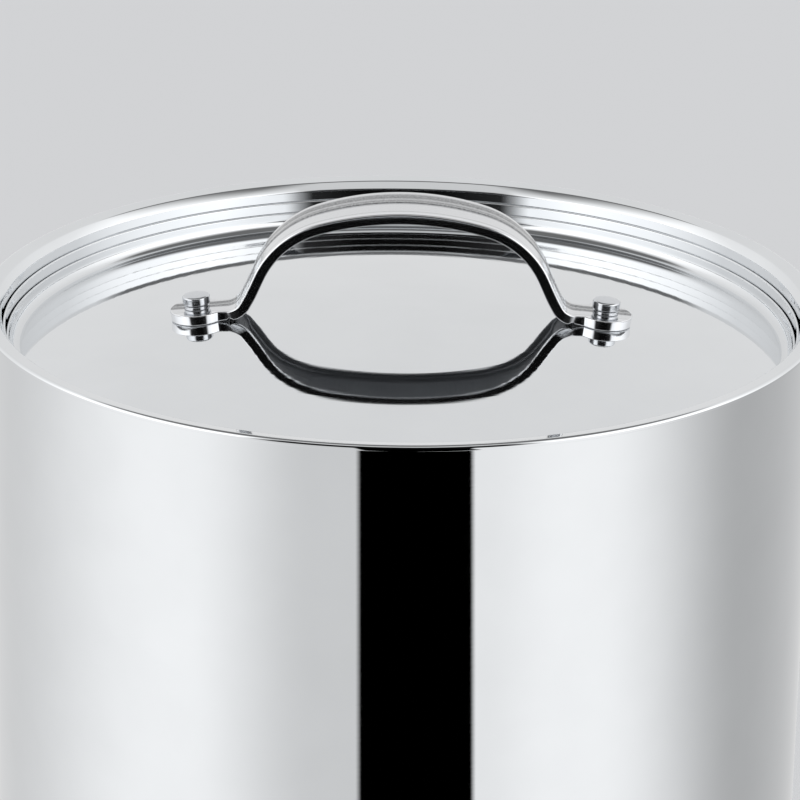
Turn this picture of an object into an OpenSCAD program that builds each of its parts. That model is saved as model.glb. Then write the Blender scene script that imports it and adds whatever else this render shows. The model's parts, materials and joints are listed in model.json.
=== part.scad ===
// Electric wet-heat soup kettle with a lift-out soup pot and a recessed, riveted-handle lid.
// Origin: on the table, under the kettle's axis. +Z is up, the controls face -Y.

/* [Casing] */
// Outside diameter of the casing wall
casing_d = 314; // [294:1:350]
// Height of the lip above the table
kettle_h = 335; // [305:1:400]
// Thickness of the casing sheet
casing_t = 1; // [0.8:0.1:1.4]
// Outside bend radius at the casing's bottom edge
casing_bend_r = 4; // [2.5:0.5:6]
// Width of the flange turned in under the casing
casing_flange_w = 26; // [24:1:32]

/* [Collar] */
// Overhang of the collar's rolled edge beyond the casing
skirt_t = 1.9; // [1:0.1:2.5]
// Height of the collar's rolled edge
skirt_h = 2; // [1.8:0.1:6]
// Width of the lip, from its outside edge to its inside wall
lip_w = 8.4; // [6:0.1:10]
// Slope of the lip's top down to its inside edge, in degrees
lip_slope_a = 10; // [0:0.5:12]
// Radius of the lip's outside edge
lip_outer_r = 1.2; // [0.5:0.1:1.2]
// Radius of the lip's inside edge
lip_inner_r = 1; // [0.8:0.1:2.4]
// Thickness of the collar's inside wall and shelf
collar_t = 1.2; // [1:0.1:1.4]
// Thickness of the collar's roof over the casing edge
collar_roof_t = 1.4; // [1:0.1:1.8]

/* [Water pan] */
// Height of the top of the pan's floor above the table
pan_floor_z = 112; // [110:1:130]
// Thickness of the pan sheet
pan_t = 1; // [0.8:0.1:1.4]
// Width of the seat from the collar's wall to the pan's inside wall
seat_w = 10.7; // [8:0.1:14]
// Inside radius round the pan's floor
pan_floor_r = 15; // [8:1:20]

/* [Soup pot] */
// Gap for water between the pot's wall and the pan's wall
water_side = 7.5; // [5:0.5:12]
// Gap for water under the pot
water_under = 18; // [10:1:30]
// Thickness of the pot sheet
pot_t = 1; // [0.8:0.1:1.2]
// Inside radius round the pot's floor
pot_floor_r = 20; // [10:1:30]
// Depth from the lip to the top edge of the pot's rim
pot_rim_drop = 7.6; // [6:0.1:9]

/* [Lid] */
// Depth from the lip to the lowest ring of the lid's top surface
lid_drop = 18.1; // [17:0.1:26]
// Depth from the lip to the lid's upturned edge
lid_edge_drop = 11.8; // [10:0.1:13]
// Rise of the lid's dome from its lowest ring to its centre
lid_rise = 12; // [6:0.5:16]
// Inside radius of the cove round the dome
cove_r = 4; // [2:0.5:6]
// Thickness of the lid sheet
lid_t = 0.9; // [0.7:0.1:1.2]

/* [Handle] */
// Distance between the two rivets
rivet_span = 154; // [150:1:166]
// Height of the handle's crown above the centre of the lid
handle_h = 43.5; // [40:0.1:52]
// Depth of the strap, over its turned-down edges
strap_depth = 4; // [3:0.1:5]
// Thickness of the strap's sheet
strap_t = 1.6; // [1.2:0.1:2]
// Width of the strap at its crown
strap_crown_w = 26; // [22:1:30]
// Width of the strap at its neck, beside the tab
strap_neck_w = 14.6; // [12:0.2:18]
// Radius of the round tab at each end
tab_r = 10.7; // [9:0.1:12]
// Distance from the foot of the leg to the rivet's axis
foot_gap = 9.5; // [9.5:0.1:14]
// Outside radius of the shoulder arc
shoulder_r = 32; // [26:1:36]
// Slope where the crown arc meets the shoulder, in degrees
crown_a = 19.3; // [16:0.1:20]
// Slope of the leg, in degrees
leg_a = 64; // [60:1:68]
// Radius of the bend from the leg to the tab, on its upper side
foot_bend_r = 3; // [2:0.5:5]
// Diameter of the rivet's shank
rivet_d = 5; // [4:0.1:6]
// Diameter of the rivet's head
rivet_head_d = 10.5; // [9:0.1:12]
// Height of the rivet's head over its collar
rivet_head_h = 3.9; // [2.5:0.1:5]
// Height of the collar ring under the rivet's head
rivet_collar_h = 1.4; // [1:0.1:2]
// Diameter of the washer under the lid
burr_d = 12; // [10:0.5:16]

/* [Base] */
// Height of the rubber feet
foot_h = 12; // [10:1:20]
// Diameter of the feet
foot_d = 26; // [22:1:28]
// Thickness of the base plate
base_t = 1.2; // [1:0.1:2]
// Diameter of the base screws
base_screw_d = 4; // [3:0.5:4]
// Number of cooling slots in the base plate
slot_count = 16; // [8:1:20]
// Length of a cooling slot
slot_l = 26; // [16:1:30]
// Width of a cooling slot
slot_w = 4; // [3:0.5:5]

/* [Heater] */
// Diameter of the cast heater plate
plate_d = 170; // [160:2:172]
// Thickness of the cast heater plate
plate_t = 8; // [7:0.5:9]
// Diameter of the ring that the element follows
element_ring_d = 124; // [110:2:136]
// Diameter of the element's tube
element_d = 8.5; // [6.5:0.5:9.5]
// Diameter of the central stud
stud_d = 6; // [5:0.5:7]
// Thickness of the clamp bar
clamp_t = 3; // [2:0.5:3.5]
// Diameter of the heat shield
shield_d = 216; // [190:2:220]
// Height of the heat shield's rim
shield_h = 12; // [8:1:14]

/* [Controls] */
// Height of the control knob's axis above the table
knob_z = 58; // [50:1:58]
// Diameter of the knob's skirt
knob_d = 44; // [40:1:48]
// Diameter of the knob's grip
grip_d = 34; // [28:1:36]
// Height of the knob
knob_h = 22; // [18:1:28]
// Diameter of the dial bezel
bezel_d = 66; // [60:1:70]
// Height of the bezel's face off the casing
bezel_h = 4; // [3.5:0.5:6]
// Diameter of the thermostat's shaft
shaft_d = 6; // [5:0.5:6]
// Distance between the thermostat's fixing screws
stat_screw_span = 28; // [26:1:29]
// Angle of the pilot lamp round the casing from the knob, in degrees
lamp_a = 21; // [19:1:40]
// Diameter of the pilot lamp's body
lamp_d = 9.6; // [8:0.2:12]

/* [Power inlet] */
// Height of the inlet's centre above the table
inlet_z = 52; // [46:1:58]
// Width of the inlet's socket
socket_w = 17; // [16.5:0.1:17.5]
// Height of the inlet's socket
socket_h = 24.6; // [24:0.1:25]
// Distance between the inlet's screws
inlet_screw_span = 40; // [39:0.5:42]

/* [Hidden] */

$fn = 96;

steel = [0.80, 0.81, 0.82];
bright = [0.88, 0.89, 0.90];
alloy = [0.70, 0.71, 0.72];
black = [0.10, 0.10, 0.11];
zinc = [0.72, 0.72, 0.70];
brass_c = [0.80, 0.65, 0.32];

// Clearances
lift_gap = 0.3;     // between pieces that lift apart
fit = 0.1;          // between fixed pieces that slip together
run_gap = 0.05;     // round a shaft that turns in its bush
hole_gap = 0.25;    // round a screw or stud in its hole
seat_gap = 0.05;    // under a piece clamped on a round surface

// Radii of the rings, from the outside in
casing_r = casing_d / 2;
lip_r = casing_r + fit + skirt_t;
wall_r = lip_r - lip_w;
rim_r = wall_r - lift_gap;
rim_in_r = rim_r - pot_t;
pan_r = wall_r - seat_w;
pot_r = pan_r - water_side - pot_t;
pan_lip_bend = 3;
seat_bend = 3;
shelf_r = pan_r + pan_lip_bend + lift_gap;

// Levels, from the lip down
lid_low_z = kettle_h - lid_drop;
pot_seat_z = lid_low_z - lid_t - lift_gap;
pan_seat_z = pot_seat_z - pot_t - lift_gap;
shelf_z = pan_seat_z - pan_t;
casing_z = foot_h + base_t;
pan_under_z = pan_floor_z - pan_t;
pot_under_z = pan_floor_z + water_under;

// Lid dome: tangent to the cove, so its radius follows from the rise
cove_x = rim_in_r - lift_gap - lid_t - cove_r;
cove_z = lid_low_z + cove_r;
lid_top_z = lid_low_z + lid_rise;
cove_drop = lid_top_z - cove_z;
dome_r = (cove_x * cove_x + cove_drop * cove_drop - cove_r * cove_r) / (2 * (cove_r + cove_drop));
dome_z = lid_top_z - dome_r;
dome_a = asin(cove_x / (dome_r + cove_r));
tab_a = asin(rivet_span / 2 / dome_r);

// Strap path: crown arc, shoulder arc, leg, foot bend, tab. The crown's radius is the one that sets
// the foot of the leg beside the tab, with the arcs' slopes as they are.
crown_top_z = lid_top_z + handle_h;
tab_n = [sin(tab_a), cos(tab_a)];
leg_n = [sin(leg_a), cos(leg_a)];
crown_n = [sin(crown_a), cos(crown_a)];
tab_level = dome_z * cos(tab_a) + dome_r + seat_gap + strap_depth;
foot_x = rivet_span / 2 - foot_gap;
bend_drop = foot_bend_r * (cos(leg_a - tab_a) - 1) - tab_level;
leg_run = cos(leg_a) / sin(leg_a - tab_a);
leg_top_0 = [0, crown_top_z] + shoulder_r * (leg_n - crown_n);
per_crown_r = [crown_n[0], crown_n[1] - 1];
crown_r = (foot_x + (foot_bend_r + strap_depth) * tab_n[0] - foot_bend_r * leg_n[0] - leg_top_0[0]
  - leg_run * (tab_n * leg_top_0 + bend_drop)) / (per_crown_r[0] + leg_run * (tab_n * per_crown_r));
crown_c = [0, crown_top_z - crown_r];
shoulder_c = crown_c + (crown_r - shoulder_r) * crown_n;
leg_top = shoulder_c + shoulder_r * leg_n;
leg_l = (tab_n * leg_top + bend_drop) / sin(leg_a - tab_a);
foot_c = leg_top + leg_l * [cos(leg_a), -sin(leg_a)] + foot_bend_r * leg_n;
tab_end_x = rivet_span / 2 + tab_r + 2;

// Small screws and push-on tags
small_d = 3;
small_nut_d = 6;
small_nut_h = 2.4;
small_head_d = 5.6;
small_head_h = 2;
nut_seat = 0.2;
tag_w = 6.3;
tag_t = 0.8;
tag_l = 8;

// Base
foot_pitch_r = casing_r - foot_d / 2 - 2;
foot_count = 4;
screw_head_h = 2.6;
foot_recess_h = foot_h / 2;
nut_h = 3.2;
slot_inner_r = 56;

// Heater stack, from the pan's underside down
plate_z = pan_under_z - plate_t;
element_r = element_d / 2;
element_gap_a = 30;
clamp_top_z = plate_z - element_r - seat_gap;
clamp_w = 16;
stud_nut_h = 5;
shield_t = 1;
spacer_h = 9;
shield_z = clamp_top_z - clamp_t - stud_nut_h - spacer_h - shield_t;
stud_end_z = shield_z - stud_nut_h - 3;
terminal_l = 14;
cutout_x = plate_d / 2 + 20;
cutout_r = 8.5;
cutout_h = 9;
cutout_ear = 12;
cutout_strap_w = 10;
cutout_strap_t = 1.5;
cutout_tag_y = 4;

// Controls
bezel_face = casing_r + bezel_h;
bezel_recess = 2;
bracket_y = -(casing_r - 12);
bracket_t = 1.5;
bracket_w = 56;
stat_w = 36;
stat_depth = 22;
stat_tag_x = 8;
stat_tag_drop = 6;
bush_d = 10;
shaft_tail = 10;
knob_gap = 0.6;
hub_d = 14;
shaft_out = bezel_face + knob_gap + knob_h - 6;
bulb_a = -112;
bulb_d = 6;
bulb_l = 80;
bulb_z = pan_floor_z + 30;
bulb_x = pan_r + pan_t + bulb_d / 2 + fit;
capillary_d = 2;

// Inlet and wiring
flange_w = 27;
flange_h = inlet_screw_span + 10;
flange_out = 3.5;
socket_depth = 16;
shell_t = 2;
inlet_back = 6;
pin_w = 2;
pin_l = 14;
pin_pitch = 7;
pin_step = 4;
block_at = [-52, 46];
block_size = [34, 18, 16];
block_pitch = 11;
earth_at = [-12, 92];
lead_d = 2.6;
lead_gap = 0.9;

// ---- Helpers -------------------------------------------------------------

// Points on an arc from angle a0 to a1, both ends included
function arc(c, r, a0, a1, n = 8) =
  [for (i = [0:n]) let (a = a0 + (a1 - a0) * i / n) c + r * [cos(a), sin(a)]];

function reversed(v) = [for (i = [len(v) - 1:-1:0]) v[i]];
function mirrored_x(v) = [for (p = v) [-p[0], p[1]]];

// A point on a circle of radius r at angle a
function polar(r, a) = [r * cos(a), r * sin(a)];

module turned(profile) {
  rotate_extrude(angle = 360) polygon(profile);
}

// A smooth curve through a list of points, with a few steps to each span
function curve_point(p, i, t) =
  let (a = p[max(i - 1, 0)], b = p[i], c = p[i + 1], d = p[min(i + 2, len(p) - 1)])
  0.5 * (2 * b + (c - a) * t + (2 * a - 5 * b + 4 * c - d) * t * t + (3 * b - a - 3 * c + d) * t * t * t);
function smooth(p, steps = 4) = concat(
  [for (i = [0:len(p) - 2], k = [0:steps - 1]) curve_point(p, i, k / steps)],
  [p[len(p) - 1]]);

// Direction of a path at each of its points, and a side vector carried along it without twist
function unit(v) = v / norm(v);
function heading(p, i) =
  unit(p[min(i + 1, len(p) - 1)] - p[max(i - 1, 0)]);
function side_vector(p, i) =
  let (t = heading(p, i), s = i == 0 ? (abs(t[2]) < 0.8 ? [0, 0, 1] : [1, 0, 0]) : side_vector(p, i - 1))
  unit(s - (s * t) * t);

// A wire or fine tube swept through a list of points
module run_through(points, d) {
  sides = 8;
  p = smooth(points);
  n = len(p);
  ring_points = [for (i = [0:n - 1])
    let (t = heading(p, i), u = side_vector(p, i), v = cross(t, u))
    for (k = [0:sides - 1]) let (a = k * 360 / sides) p[i] + d / 2 * (cos(a) * u + sin(a) * v)];
  walls = [for (i = [0:n - 2], k = [0:sides - 1])
    let (a = i * sides + k, b = i * sides + (k + 1) % sides)
    for (f = [[a, a + sides, b], [b, a + sides, b + sides]]) f];
  first = [for (k = [0:sides - 1]) k];
  last = [for (k = [sides - 1:-1:0]) (n - 1) * sides + k];
  polyhedron(ring_points, concat(walls, [first], [last]));
}

// Places its children once on each foot position
module at_feet() {
  for (i = [0:foot_count - 1]) rotate([0, 0, 45 + i * 360 / foot_count]) translate([foot_pitch_r, 0, 0])
    children();
}

// Turns +Z to face out of the front of the kettle, with the origin on its axis at height z
module facing_front(z) {
  translate([0, 0, z]) rotate([90, 0, 0]) children();
}

module hex_nut(d, h, bore) {
  difference() {
    cylinder(d = d, h = h, $fn = 6);
    translate([0, 0, -1]) cylinder(d = bore, h = h + 2, $fn = 24);
  }
}

// Places its children on the lid at each rivet, with +Z out of the dome
module at_rivets() {
  for (s = [-1, 1]) translate([0, 0, dome_z]) rotate([0, s * tab_a, 0]) translate([0, 0, dome_r])
    children();
}

// ---- Casing and base -----------------------------------------------------

module outer_casing() {
  bend_in = casing_bend_r - casing_t;
  bend_c = [casing_r - casing_bend_r, casing_z + casing_bend_r];
  color(bright) difference() {
    turned(concat(
      [[casing_r, kettle_h - collar_roof_t]],
      [[casing_r - casing_t, kettle_h - collar_roof_t]],
      arc(bend_c, bend_in, 0, -90),
      [[casing_r - casing_flange_w, casing_z + casing_t]],
      [[casing_r - casing_flange_w, casing_z]],
      arc(bend_c, casing_bend_r, -90, 0)));
    at_feet() cylinder(d = base_screw_d + 2 * hole_gap, h = casing_z + casing_bend_r, $fn = 32);
    facing_front(knob_z) {
      cylinder(d = bush_d + 4, h = casing_r + 1);
      for (s = [-1, 1]) translate([s * stat_screw_span / 2, 0, 0])
        cylinder(d = base_screw_d + 2 * hole_gap, h = casing_r + 1, $fn = 32);
    }
    rotate([0, 0, lamp_a]) facing_front(knob_z) cylinder(d = lamp_d + 2 * hole_gap, h = casing_r + 1);
    translate([0, casing_r, inlet_z])
      cube([socket_w + 2 * shell_t + 2 * fit, 40, socket_h + 2 * shell_t + 2 * fit], center = true);
    for (s = [-1, 1]) translate([0, 0, inlet_z + s * inlet_screw_span / 2]) rotate([-90, 0, 0])
      cylinder(d = small_d + 2 * hole_gap, h = casing_r + 1, $fn = 32);
  }
}

module top_collar() {
  // The lip's top is one slope, tangent to the roundings of both its edges
  slope_n = [-sin(lip_slope_a), cos(lip_slope_a)];
  outer_c = [lip_r - lip_outer_r, kettle_h - lip_outer_r];
  slope_from = outer_c + (lip_outer_r - lip_inner_r) * slope_n;
  inner_x = wall_r + lip_inner_r;
  inner_c = [inner_x, slope_from[1] - (slope_from[0] - inner_x) * tan(lip_slope_a)];
  roof_z = kettle_h - collar_roof_t;
  roof_out_r = casing_r - casing_t - fit;
  roof_in_z = roof_z - (roof_out_r - wall_r - collar_t) * tan(lip_slope_a);
  color(bright) turned(concat(
    [[casing_r + fit, roof_z], [casing_r + fit, kettle_h - skirt_h], [lip_r, kettle_h - skirt_h]],
    arc(outer_c, lip_outer_r, 0, 90 + lip_slope_a),
    arc(inner_c, lip_inner_r, 90 + lip_slope_a, 180),
    [[wall_r, shelf_z], [shelf_r, shelf_z], [shelf_r, shelf_z - collar_t]],
    [[wall_r + collar_t, shelf_z - collar_t], [wall_r + collar_t, roof_in_z]],
    [[roof_out_r, roof_z]]));
}

module base_plate() {
  color(steel) difference() {
    translate([0, 0, foot_h]) cylinder(r = casing_r - casing_bend_r, h = base_t);
    at_feet() cylinder(d = base_screw_d + 2 * hole_gap, h = casing_z + 1, $fn = 32);
    for (i = [0:slot_count - 1]) rotate([0, 0, (i + 0.5) * 360 / slot_count])
      translate([slot_inner_r, -slot_w / 2, foot_h - 1]) cube([slot_l, slot_w, base_t + 2]);
  }
}

module feet() {
  color(black) at_feet() difference() {
    turned([[0, 0], [foot_d / 2 - 3, 0], [foot_d / 2 - 2, 1], [foot_d / 2, foot_h], [0, foot_h]]);
    translate([0, 0, -1]) cylinder(d = base_screw_d + 2 * hole_gap, h = foot_h + 2, $fn = 32);
    translate([0, 0, -1]) cylinder(d = base_screw_d * 2 + 2, h = foot_recess_h + 1, $fn = 32);
  }
}

module foot_screws() {
  color(zinc) at_feet() {
    translate([0, 0, foot_recess_h - screw_head_h]) cylinder(d = base_screw_d * 2, h = screw_head_h, $fn = 32);
    translate([0, 0, foot_recess_h - screw_head_h])
      cylinder(d = base_screw_d, h = screw_head_h + foot_h - foot_recess_h + base_t + casing_t + nut_h + 1, $fn = 32);
  }
}

module foot_nuts() {
  color(zinc) at_feet() translate([0, 0, casing_z + casing_t])
    hex_nut(base_screw_d * 2 + 0.1, nut_h, base_screw_d + 2 * run_gap);
}

// ---- Water pan and heater ------------------------------------------------

module water_pan() {
  flange_c = [pan_r + pan_lip_bend, pan_seat_z - pan_lip_bend];
  floor_c = [pan_r - pan_floor_r, pan_floor_z + pan_floor_r];
  color(steel) turned(concat(
    [[0, pan_under_z], [0, pan_floor_z]],
    arc(floor_c, pan_floor_r, -90, 0),
    arc(flange_c, pan_lip_bend, 180, 90),
    [[rim_r, pan_seat_z], [rim_r, shelf_z]],
    arc(flange_c, pan_lip_bend - pan_t, 90, 180),
    arc(floor_c, pan_floor_r + pan_t, 0, -90)));
}

module heater_plate() {
  color(alloy) difference() {
    translate([0, 0, plate_z]) cylinder(d = plate_d, h = plate_t);
    translate([0, 0, plate_z - 1]) cylinder(d = stud_d + 2 * hole_gap, h = plate_t + 2, $fn = 48);
    translate([0, 0, plate_z]) rotate_extrude(angle = 360) translate([element_ring_d / 2, 0])
      circle(r = element_r + seat_gap, $fn = 48);
  }
}

module heating_element() {
  color(alloy) translate([0, 0, plate_z]) rotate([0, 0, 90 + element_gap_a])
    rotate_extrude(angle = 360 - 2 * element_gap_a) translate([element_ring_d / 2, 0])
      circle(r = element_r, $fn = 48);
}

module element_terminals() {
  // A pin and its tag at each end of the element, just past the sheath
  color(zinc) for (s = [-1, 1]) rotate([0, 0, 90 + s * (element_gap_a - 4.2)])
    translate([element_ring_d / 2, 0, plate_z - terminal_l]) {
      cylinder(d = 4, h = terminal_l - seat_gap, $fn = 32);
      translate([-tag_w / 2, -tag_t / 2, -tag_l]) cube([tag_w, tag_t, tag_l]);
    }
}

module element_clamp() {
  color(zinc) translate([0, 0, clamp_top_z - clamp_t]) difference() {
    translate([-element_ring_d / 2 - 8, -clamp_w / 2, 0]) cube([element_ring_d + 16, clamp_w, clamp_t]);
    translate([0, 0, -1]) cylinder(d = stud_d + 2 * hole_gap, h = clamp_t + 2, $fn = 48);
  }
}

module centre_stud() {
  color(zinc) translate([0, 0, stud_end_z]) cylinder(d = stud_d, h = pan_under_z - stud_end_z, $fn = 48);
}

module stud_nuts() {
  color(zinc) for (z = [clamp_top_z - clamp_t - stud_nut_h, shield_z - stud_nut_h]) translate([0, 0, z])
    hex_nut(stud_d * 1.9, stud_nut_h, stud_d + 2 * run_gap);
}

module shield_spacer() {
  color(zinc) translate([0, 0, shield_z + shield_t]) difference() {
    cylinder(d = stud_d * 2, h = spacer_h, $fn = 48);
    translate([0, 0, -1]) cylinder(d = stud_d + 2 * hole_gap, h = spacer_h + 2, $fn = 48);
  }
}

module heat_shield() {
  rim_r2 = shield_d / 2;
  color(steel) difference() {
    turned([[0, shield_z], [rim_r2, shield_z], [rim_r2, shield_z + shield_h],
      [rim_r2 - shield_t, shield_z + shield_h], [rim_r2 - shield_t, shield_z + shield_t],
      [0, shield_z + shield_t]]);
    translate([0, 0, shield_z - 1]) cylinder(d = stud_d + 2 * hole_gap, h = shield_t + 2, $fn = 48);
    for (s = [-1, 1]) translate(concat(polar(element_ring_d / 2, 90 + s * (element_gap_a - 4.2)), [shield_z - 1]))
      cylinder(d = 14, h = shield_t + 2, $fn = 48);
    translate([cutout_x, 0, shield_z - 1]) cylinder(d = 22, h = shield_h + 2, $fn = 48);
  }
}

module thermal_cutout() {
  color(black) difference() {
    translate([cutout_x, 0, 0]) {
      translate([0, 0, pan_under_z - cutout_h]) cylinder(r = cutout_r, h = cutout_h, $fn = 48);
      translate([-cutout_strap_w / 2, -cutout_ear - 4, pan_under_z - cutout_strap_t])
        cube([cutout_strap_w, 2 * cutout_ear + 8, cutout_strap_t]);
      for (s = [-1, 1]) translate([-tag_w / 2, s * cutout_tag_y - tag_t / 2, pan_under_z - cutout_h - tag_l])
        cube([tag_w, tag_t, tag_l + 1]);
    }
    for (s = [-1, 1]) translate([cutout_x, s * cutout_ear, pan_under_z - 3])
      cylinder(d = small_d + 2 * hole_gap, h = 5, $fn = 32);
  }
}

module cutout_nuts() {
  // Weld studs under the pan with their nuts
  color(zinc) for (s = [-1, 1]) translate([cutout_x, s * cutout_ear, 0]) {
    translate([0, 0, pan_under_z - 7]) cylinder(d = small_d, h = 7, $fn = 32);
    translate([0, 0, pan_under_z - cutout_strap_t - small_nut_h]) cylinder(d = small_nut_d, h = small_nut_h, $fn = 6);
  }
}

// ---- Controls ------------------------------------------------------------

module thermostat() {
  front_y = bracket_y + bracket_t;
  color(alloy) difference() {
    union() {
      translate([-stat_w / 2, front_y, knob_z - stat_w / 2]) cube([stat_w, stat_depth, stat_w]);
      translate([0, 0, knob_z]) rotate([90, 0, 0]) translate([0, 0, -front_y])
        cylinder(d = bush_d, h = 8, $fn = 48);
      for (s = [-1, 1]) translate([s * stat_tag_x - tag_w / 2, front_y + stat_depth, knob_z - stat_tag_drop])
        cube([tag_w, tag_l, tag_t]);
    }
    facing_front(knob_z) translate([0, 0, -front_y - shaft_tail - 1])
      cylinder(d = shaft_d + 2 * run_gap, h = shaft_tail + 20, $fn = 48);
    facing_front(knob_z) for (s = [-1, 1]) translate([s * stat_screw_span / 2, 0, -front_y - 6])
      cylinder(d = base_screw_d + 2 * run_gap, h = 10, $fn = 32);
  }
}

module thermostat_bracket() {
  top_z = knob_z + stat_w / 2;
  color(steel) difference() {
    union() {
      translate([-bracket_w / 2, bracket_y, casing_z]) cube([bracket_w, bracket_t, top_z - casing_z]);
      translate([-bracket_w / 2, bracket_y, casing_z + casing_t])
        cube([bracket_w, casing_flange_w + 8, bracket_t]);
    }
    translate([-bracket_w, bracket_y - 20, casing_z - 1]) cube([2 * bracket_w, 60, casing_t + 1]);
    facing_front(knob_z) {
      cylinder(d = bush_d + 2 * hole_gap, h = casing_r, $fn = 48);
      for (s = [-1, 1]) translate([s * stat_screw_span / 2, 0, 0])
        cylinder(d = base_screw_d + 2 * hole_gap, h = casing_r, $fn = 32);
    }
  }
}

module thermostat_screws() {
  front = -(bracket_y + bracket_t);
  color(zinc) facing_front(knob_z) for (s = [-1, 1]) translate([s * stat_screw_span / 2, 0, 0]) {
    translate([0, 0, front - 5]) cylinder(d = base_screw_d, h = bezel_face - bezel_recess - front + 5, $fn = 32);
    translate([0, 0, bezel_face - bezel_recess]) cylinder(d = base_screw_d * 1.8, h = bezel_recess - 0.2, $fn = 32);
  }
}

module thermostat_bulb() {
  at = concat(polar(bulb_x, bulb_a), [bulb_z]);
  down = concat(polar(bulb_x, bulb_a), [shield_z + shield_h]);
  stat_top = [-stat_w / 4, bracket_y + bracket_t + stat_depth / 2, knob_z + stat_w / 2];
  over = stat_top + [-10, 0, 8];
  color(brass_c) {
    translate(at) cylinder(d = bulb_d, h = bulb_l, $fn = 32);
    run_through([at + [0, 0, 1], down, over, stat_top], capillary_d);
  }
}

module bulb_clips() {
  color(zinc) for (z = [bulb_z + 10, bulb_z + bulb_l - 20]) difference() {
    translate(concat(polar(bulb_x, bulb_a), [z])) cylinder(d = bulb_d + 3, h = 10, $fn = 48);
    translate(concat(polar(bulb_x, bulb_a), [z - 1])) cylinder(d = bulb_d + 2 * run_gap, h = 12, $fn = 48);
    translate([0, 0, z - 1]) cylinder(r = pan_r + pan_t + run_gap, h = 12);
  }
}

module dial_bezel() {
  color(black) difference() {
    facing_front(knob_z) translate([0, 0, casing_r - 8]) turned([[0, 0], [bezel_d / 2, 0],
      [bezel_d / 2, 8 + bezel_h - 1], [bezel_d / 2 - 1, 8 + bezel_h], [0, 8 + bezel_h]]);
    cylinder(r = casing_r + fit, h = kettle_h, $fn = 360);
    facing_front(knob_z) {
      translate([0, 0, casing_r - 10]) cylinder(d = hub_d + 3, h = 30, $fn = 64);
      for (s = [-1, 1]) translate([s * stat_screw_span / 2, 0, casing_r - 10]) {
        cylinder(d = base_screw_d + 2 * hole_gap, h = 30, $fn = 32);
        translate([0, 0, 10 + bezel_h - bezel_recess]) cylinder(d = base_screw_d * 1.8 + 1, h = 5, $fn = 32);
      }
    }
  }
}

module thermostat_shaft() {
  front = -(bracket_y + bracket_t);
  color(zinc) facing_front(knob_z) translate([0, 0, front - shaft_tail])
    cylinder(d = shaft_d, h = shaft_out - front + shaft_tail, $fn = 48);
}

module control_knob() {
  back = bezel_face + knob_gap;
  skirt_h2 = 5;
  color(black) facing_front(knob_z) difference() {
    union() {
      translate([0, 0, back]) turned([[0, 0], [knob_d / 2, 0], [knob_d / 2, skirt_h2 - 1.5],
        [knob_d / 2 - 1.5, skirt_h2], [grip_d / 2, skirt_h2 + 1], [grip_d / 2 - 1.5, knob_h - 2],
        [grip_d / 2 - 3.5, knob_h], [0, knob_h]]);
      translate([0, 0, casing_r + 1]) cylinder(d = hub_d, h = back - casing_r, $fn = 64);
      for (i = [0:11]) rotate([0, 0, i * 30 + 15]) translate([grip_d / 2 - 2, -1.5, back + skirt_h2])
        cube([3, 3, knob_h - skirt_h2 - 3]);
    }
    translate([0, 0, casing_r]) cylinder(d = shaft_d + 2 * run_gap, h = shaft_out - casing_r + 0.5, $fn = 48);
    translate([0, 0, casing_r]) cylinder(d = hub_d - 3, h = 5, $fn = 48);
    translate([-1, grip_d / 2 - 9, back + knob_h - 0.8]) cube([2, 12, 3]);
  }
}

module knob_spring() {
  // Sprung ring in the knob's hub that grips the shaft
  color(zinc) facing_front(knob_z) translate([0, 0, casing_r + 1.2]) difference() {
    cylinder(d = hub_d - 3 - 2 * run_gap, h = 3, $fn = 48);
    translate([0, 0, -1]) cylinder(d = shaft_d + 2 * run_gap, h = 5, $fn = 48);
  }
}

module lamp_body() {
  color(black) rotate([0, 0, lamp_a]) facing_front(knob_z) {
    translate([0, 0, casing_r - 26]) cylinder(d = lamp_d, h = 27, $fn = 48);
    translate([0, 0, casing_r + fit]) cylinder(d = lamp_d + 4, h = 2, $fn = 48);
    for (s = [-1, 1]) translate([s * 2 - 0.4, -1.4, casing_r - 33]) cube([0.8, 2.8, 8]);
  }
}

module lamp_lens() {
  color("orange") rotate([0, 0, lamp_a]) facing_front(knob_z) translate([0, 0, casing_r + fit + 2])
    turned(concat([[0, 0]], arc([0, -3], norm([lamp_d / 2 + 1, 3]), atan2(3, lamp_d / 2 + 1), 90, 10)));
}

module lamp_clip() {
  color(zinc) rotate([0, 0, lamp_a]) facing_front(knob_z) translate([0, 0, casing_r - casing_t - 1.4])
    difference() {
      cylinder(d = lamp_d + 7, h = 0.8, $fn = 48);
      translate([0, 0, -1]) cylinder(d = lamp_d + 2 * run_gap, h = 3, $fn = 48);
    }
}

// ---- Power inlet and wiring ----------------------------------------------

module power_inlet() {
  face = casing_r + flange_out;
  back = face - socket_depth - inlet_back;
  color(black) difference() {
    union() {
      difference() {
        translate([-flange_w / 2, casing_r - 3, inlet_z - flange_h / 2]) cube([flange_w, flange_out + 3, flange_h]);
        cylinder(r = casing_r + fit, h = kettle_h, $fn = 360);
      }
      translate([-socket_w / 2 - shell_t, back, inlet_z - socket_h / 2 - shell_t])
        cube([socket_w + 2 * shell_t, face - back, socket_h + 2 * shell_t]);
    }
    translate([-socket_w / 2, face - socket_depth, inlet_z - socket_h / 2])
      cube([socket_w, socket_depth + 1, socket_h]);
    for (p = [[-1, -1], [1, 0], [-1, 1]]) translate([p[0] * pin_step / 2 - pin_w, back - 1, inlet_z + p[1] * pin_pitch - pin_w / 2])
      translate([-fit, 0, -fit]) cube([2 * pin_w + 2 * fit, inlet_back + 2, pin_w + 2 * fit]);
    for (s = [-1, 1]) translate([0, casing_r - 4, inlet_z + s * inlet_screw_span / 2]) rotate([-90, 0, 0])
      cylinder(d = small_d + 2 * hole_gap, h = 20, $fn = 32);
  }
}

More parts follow.
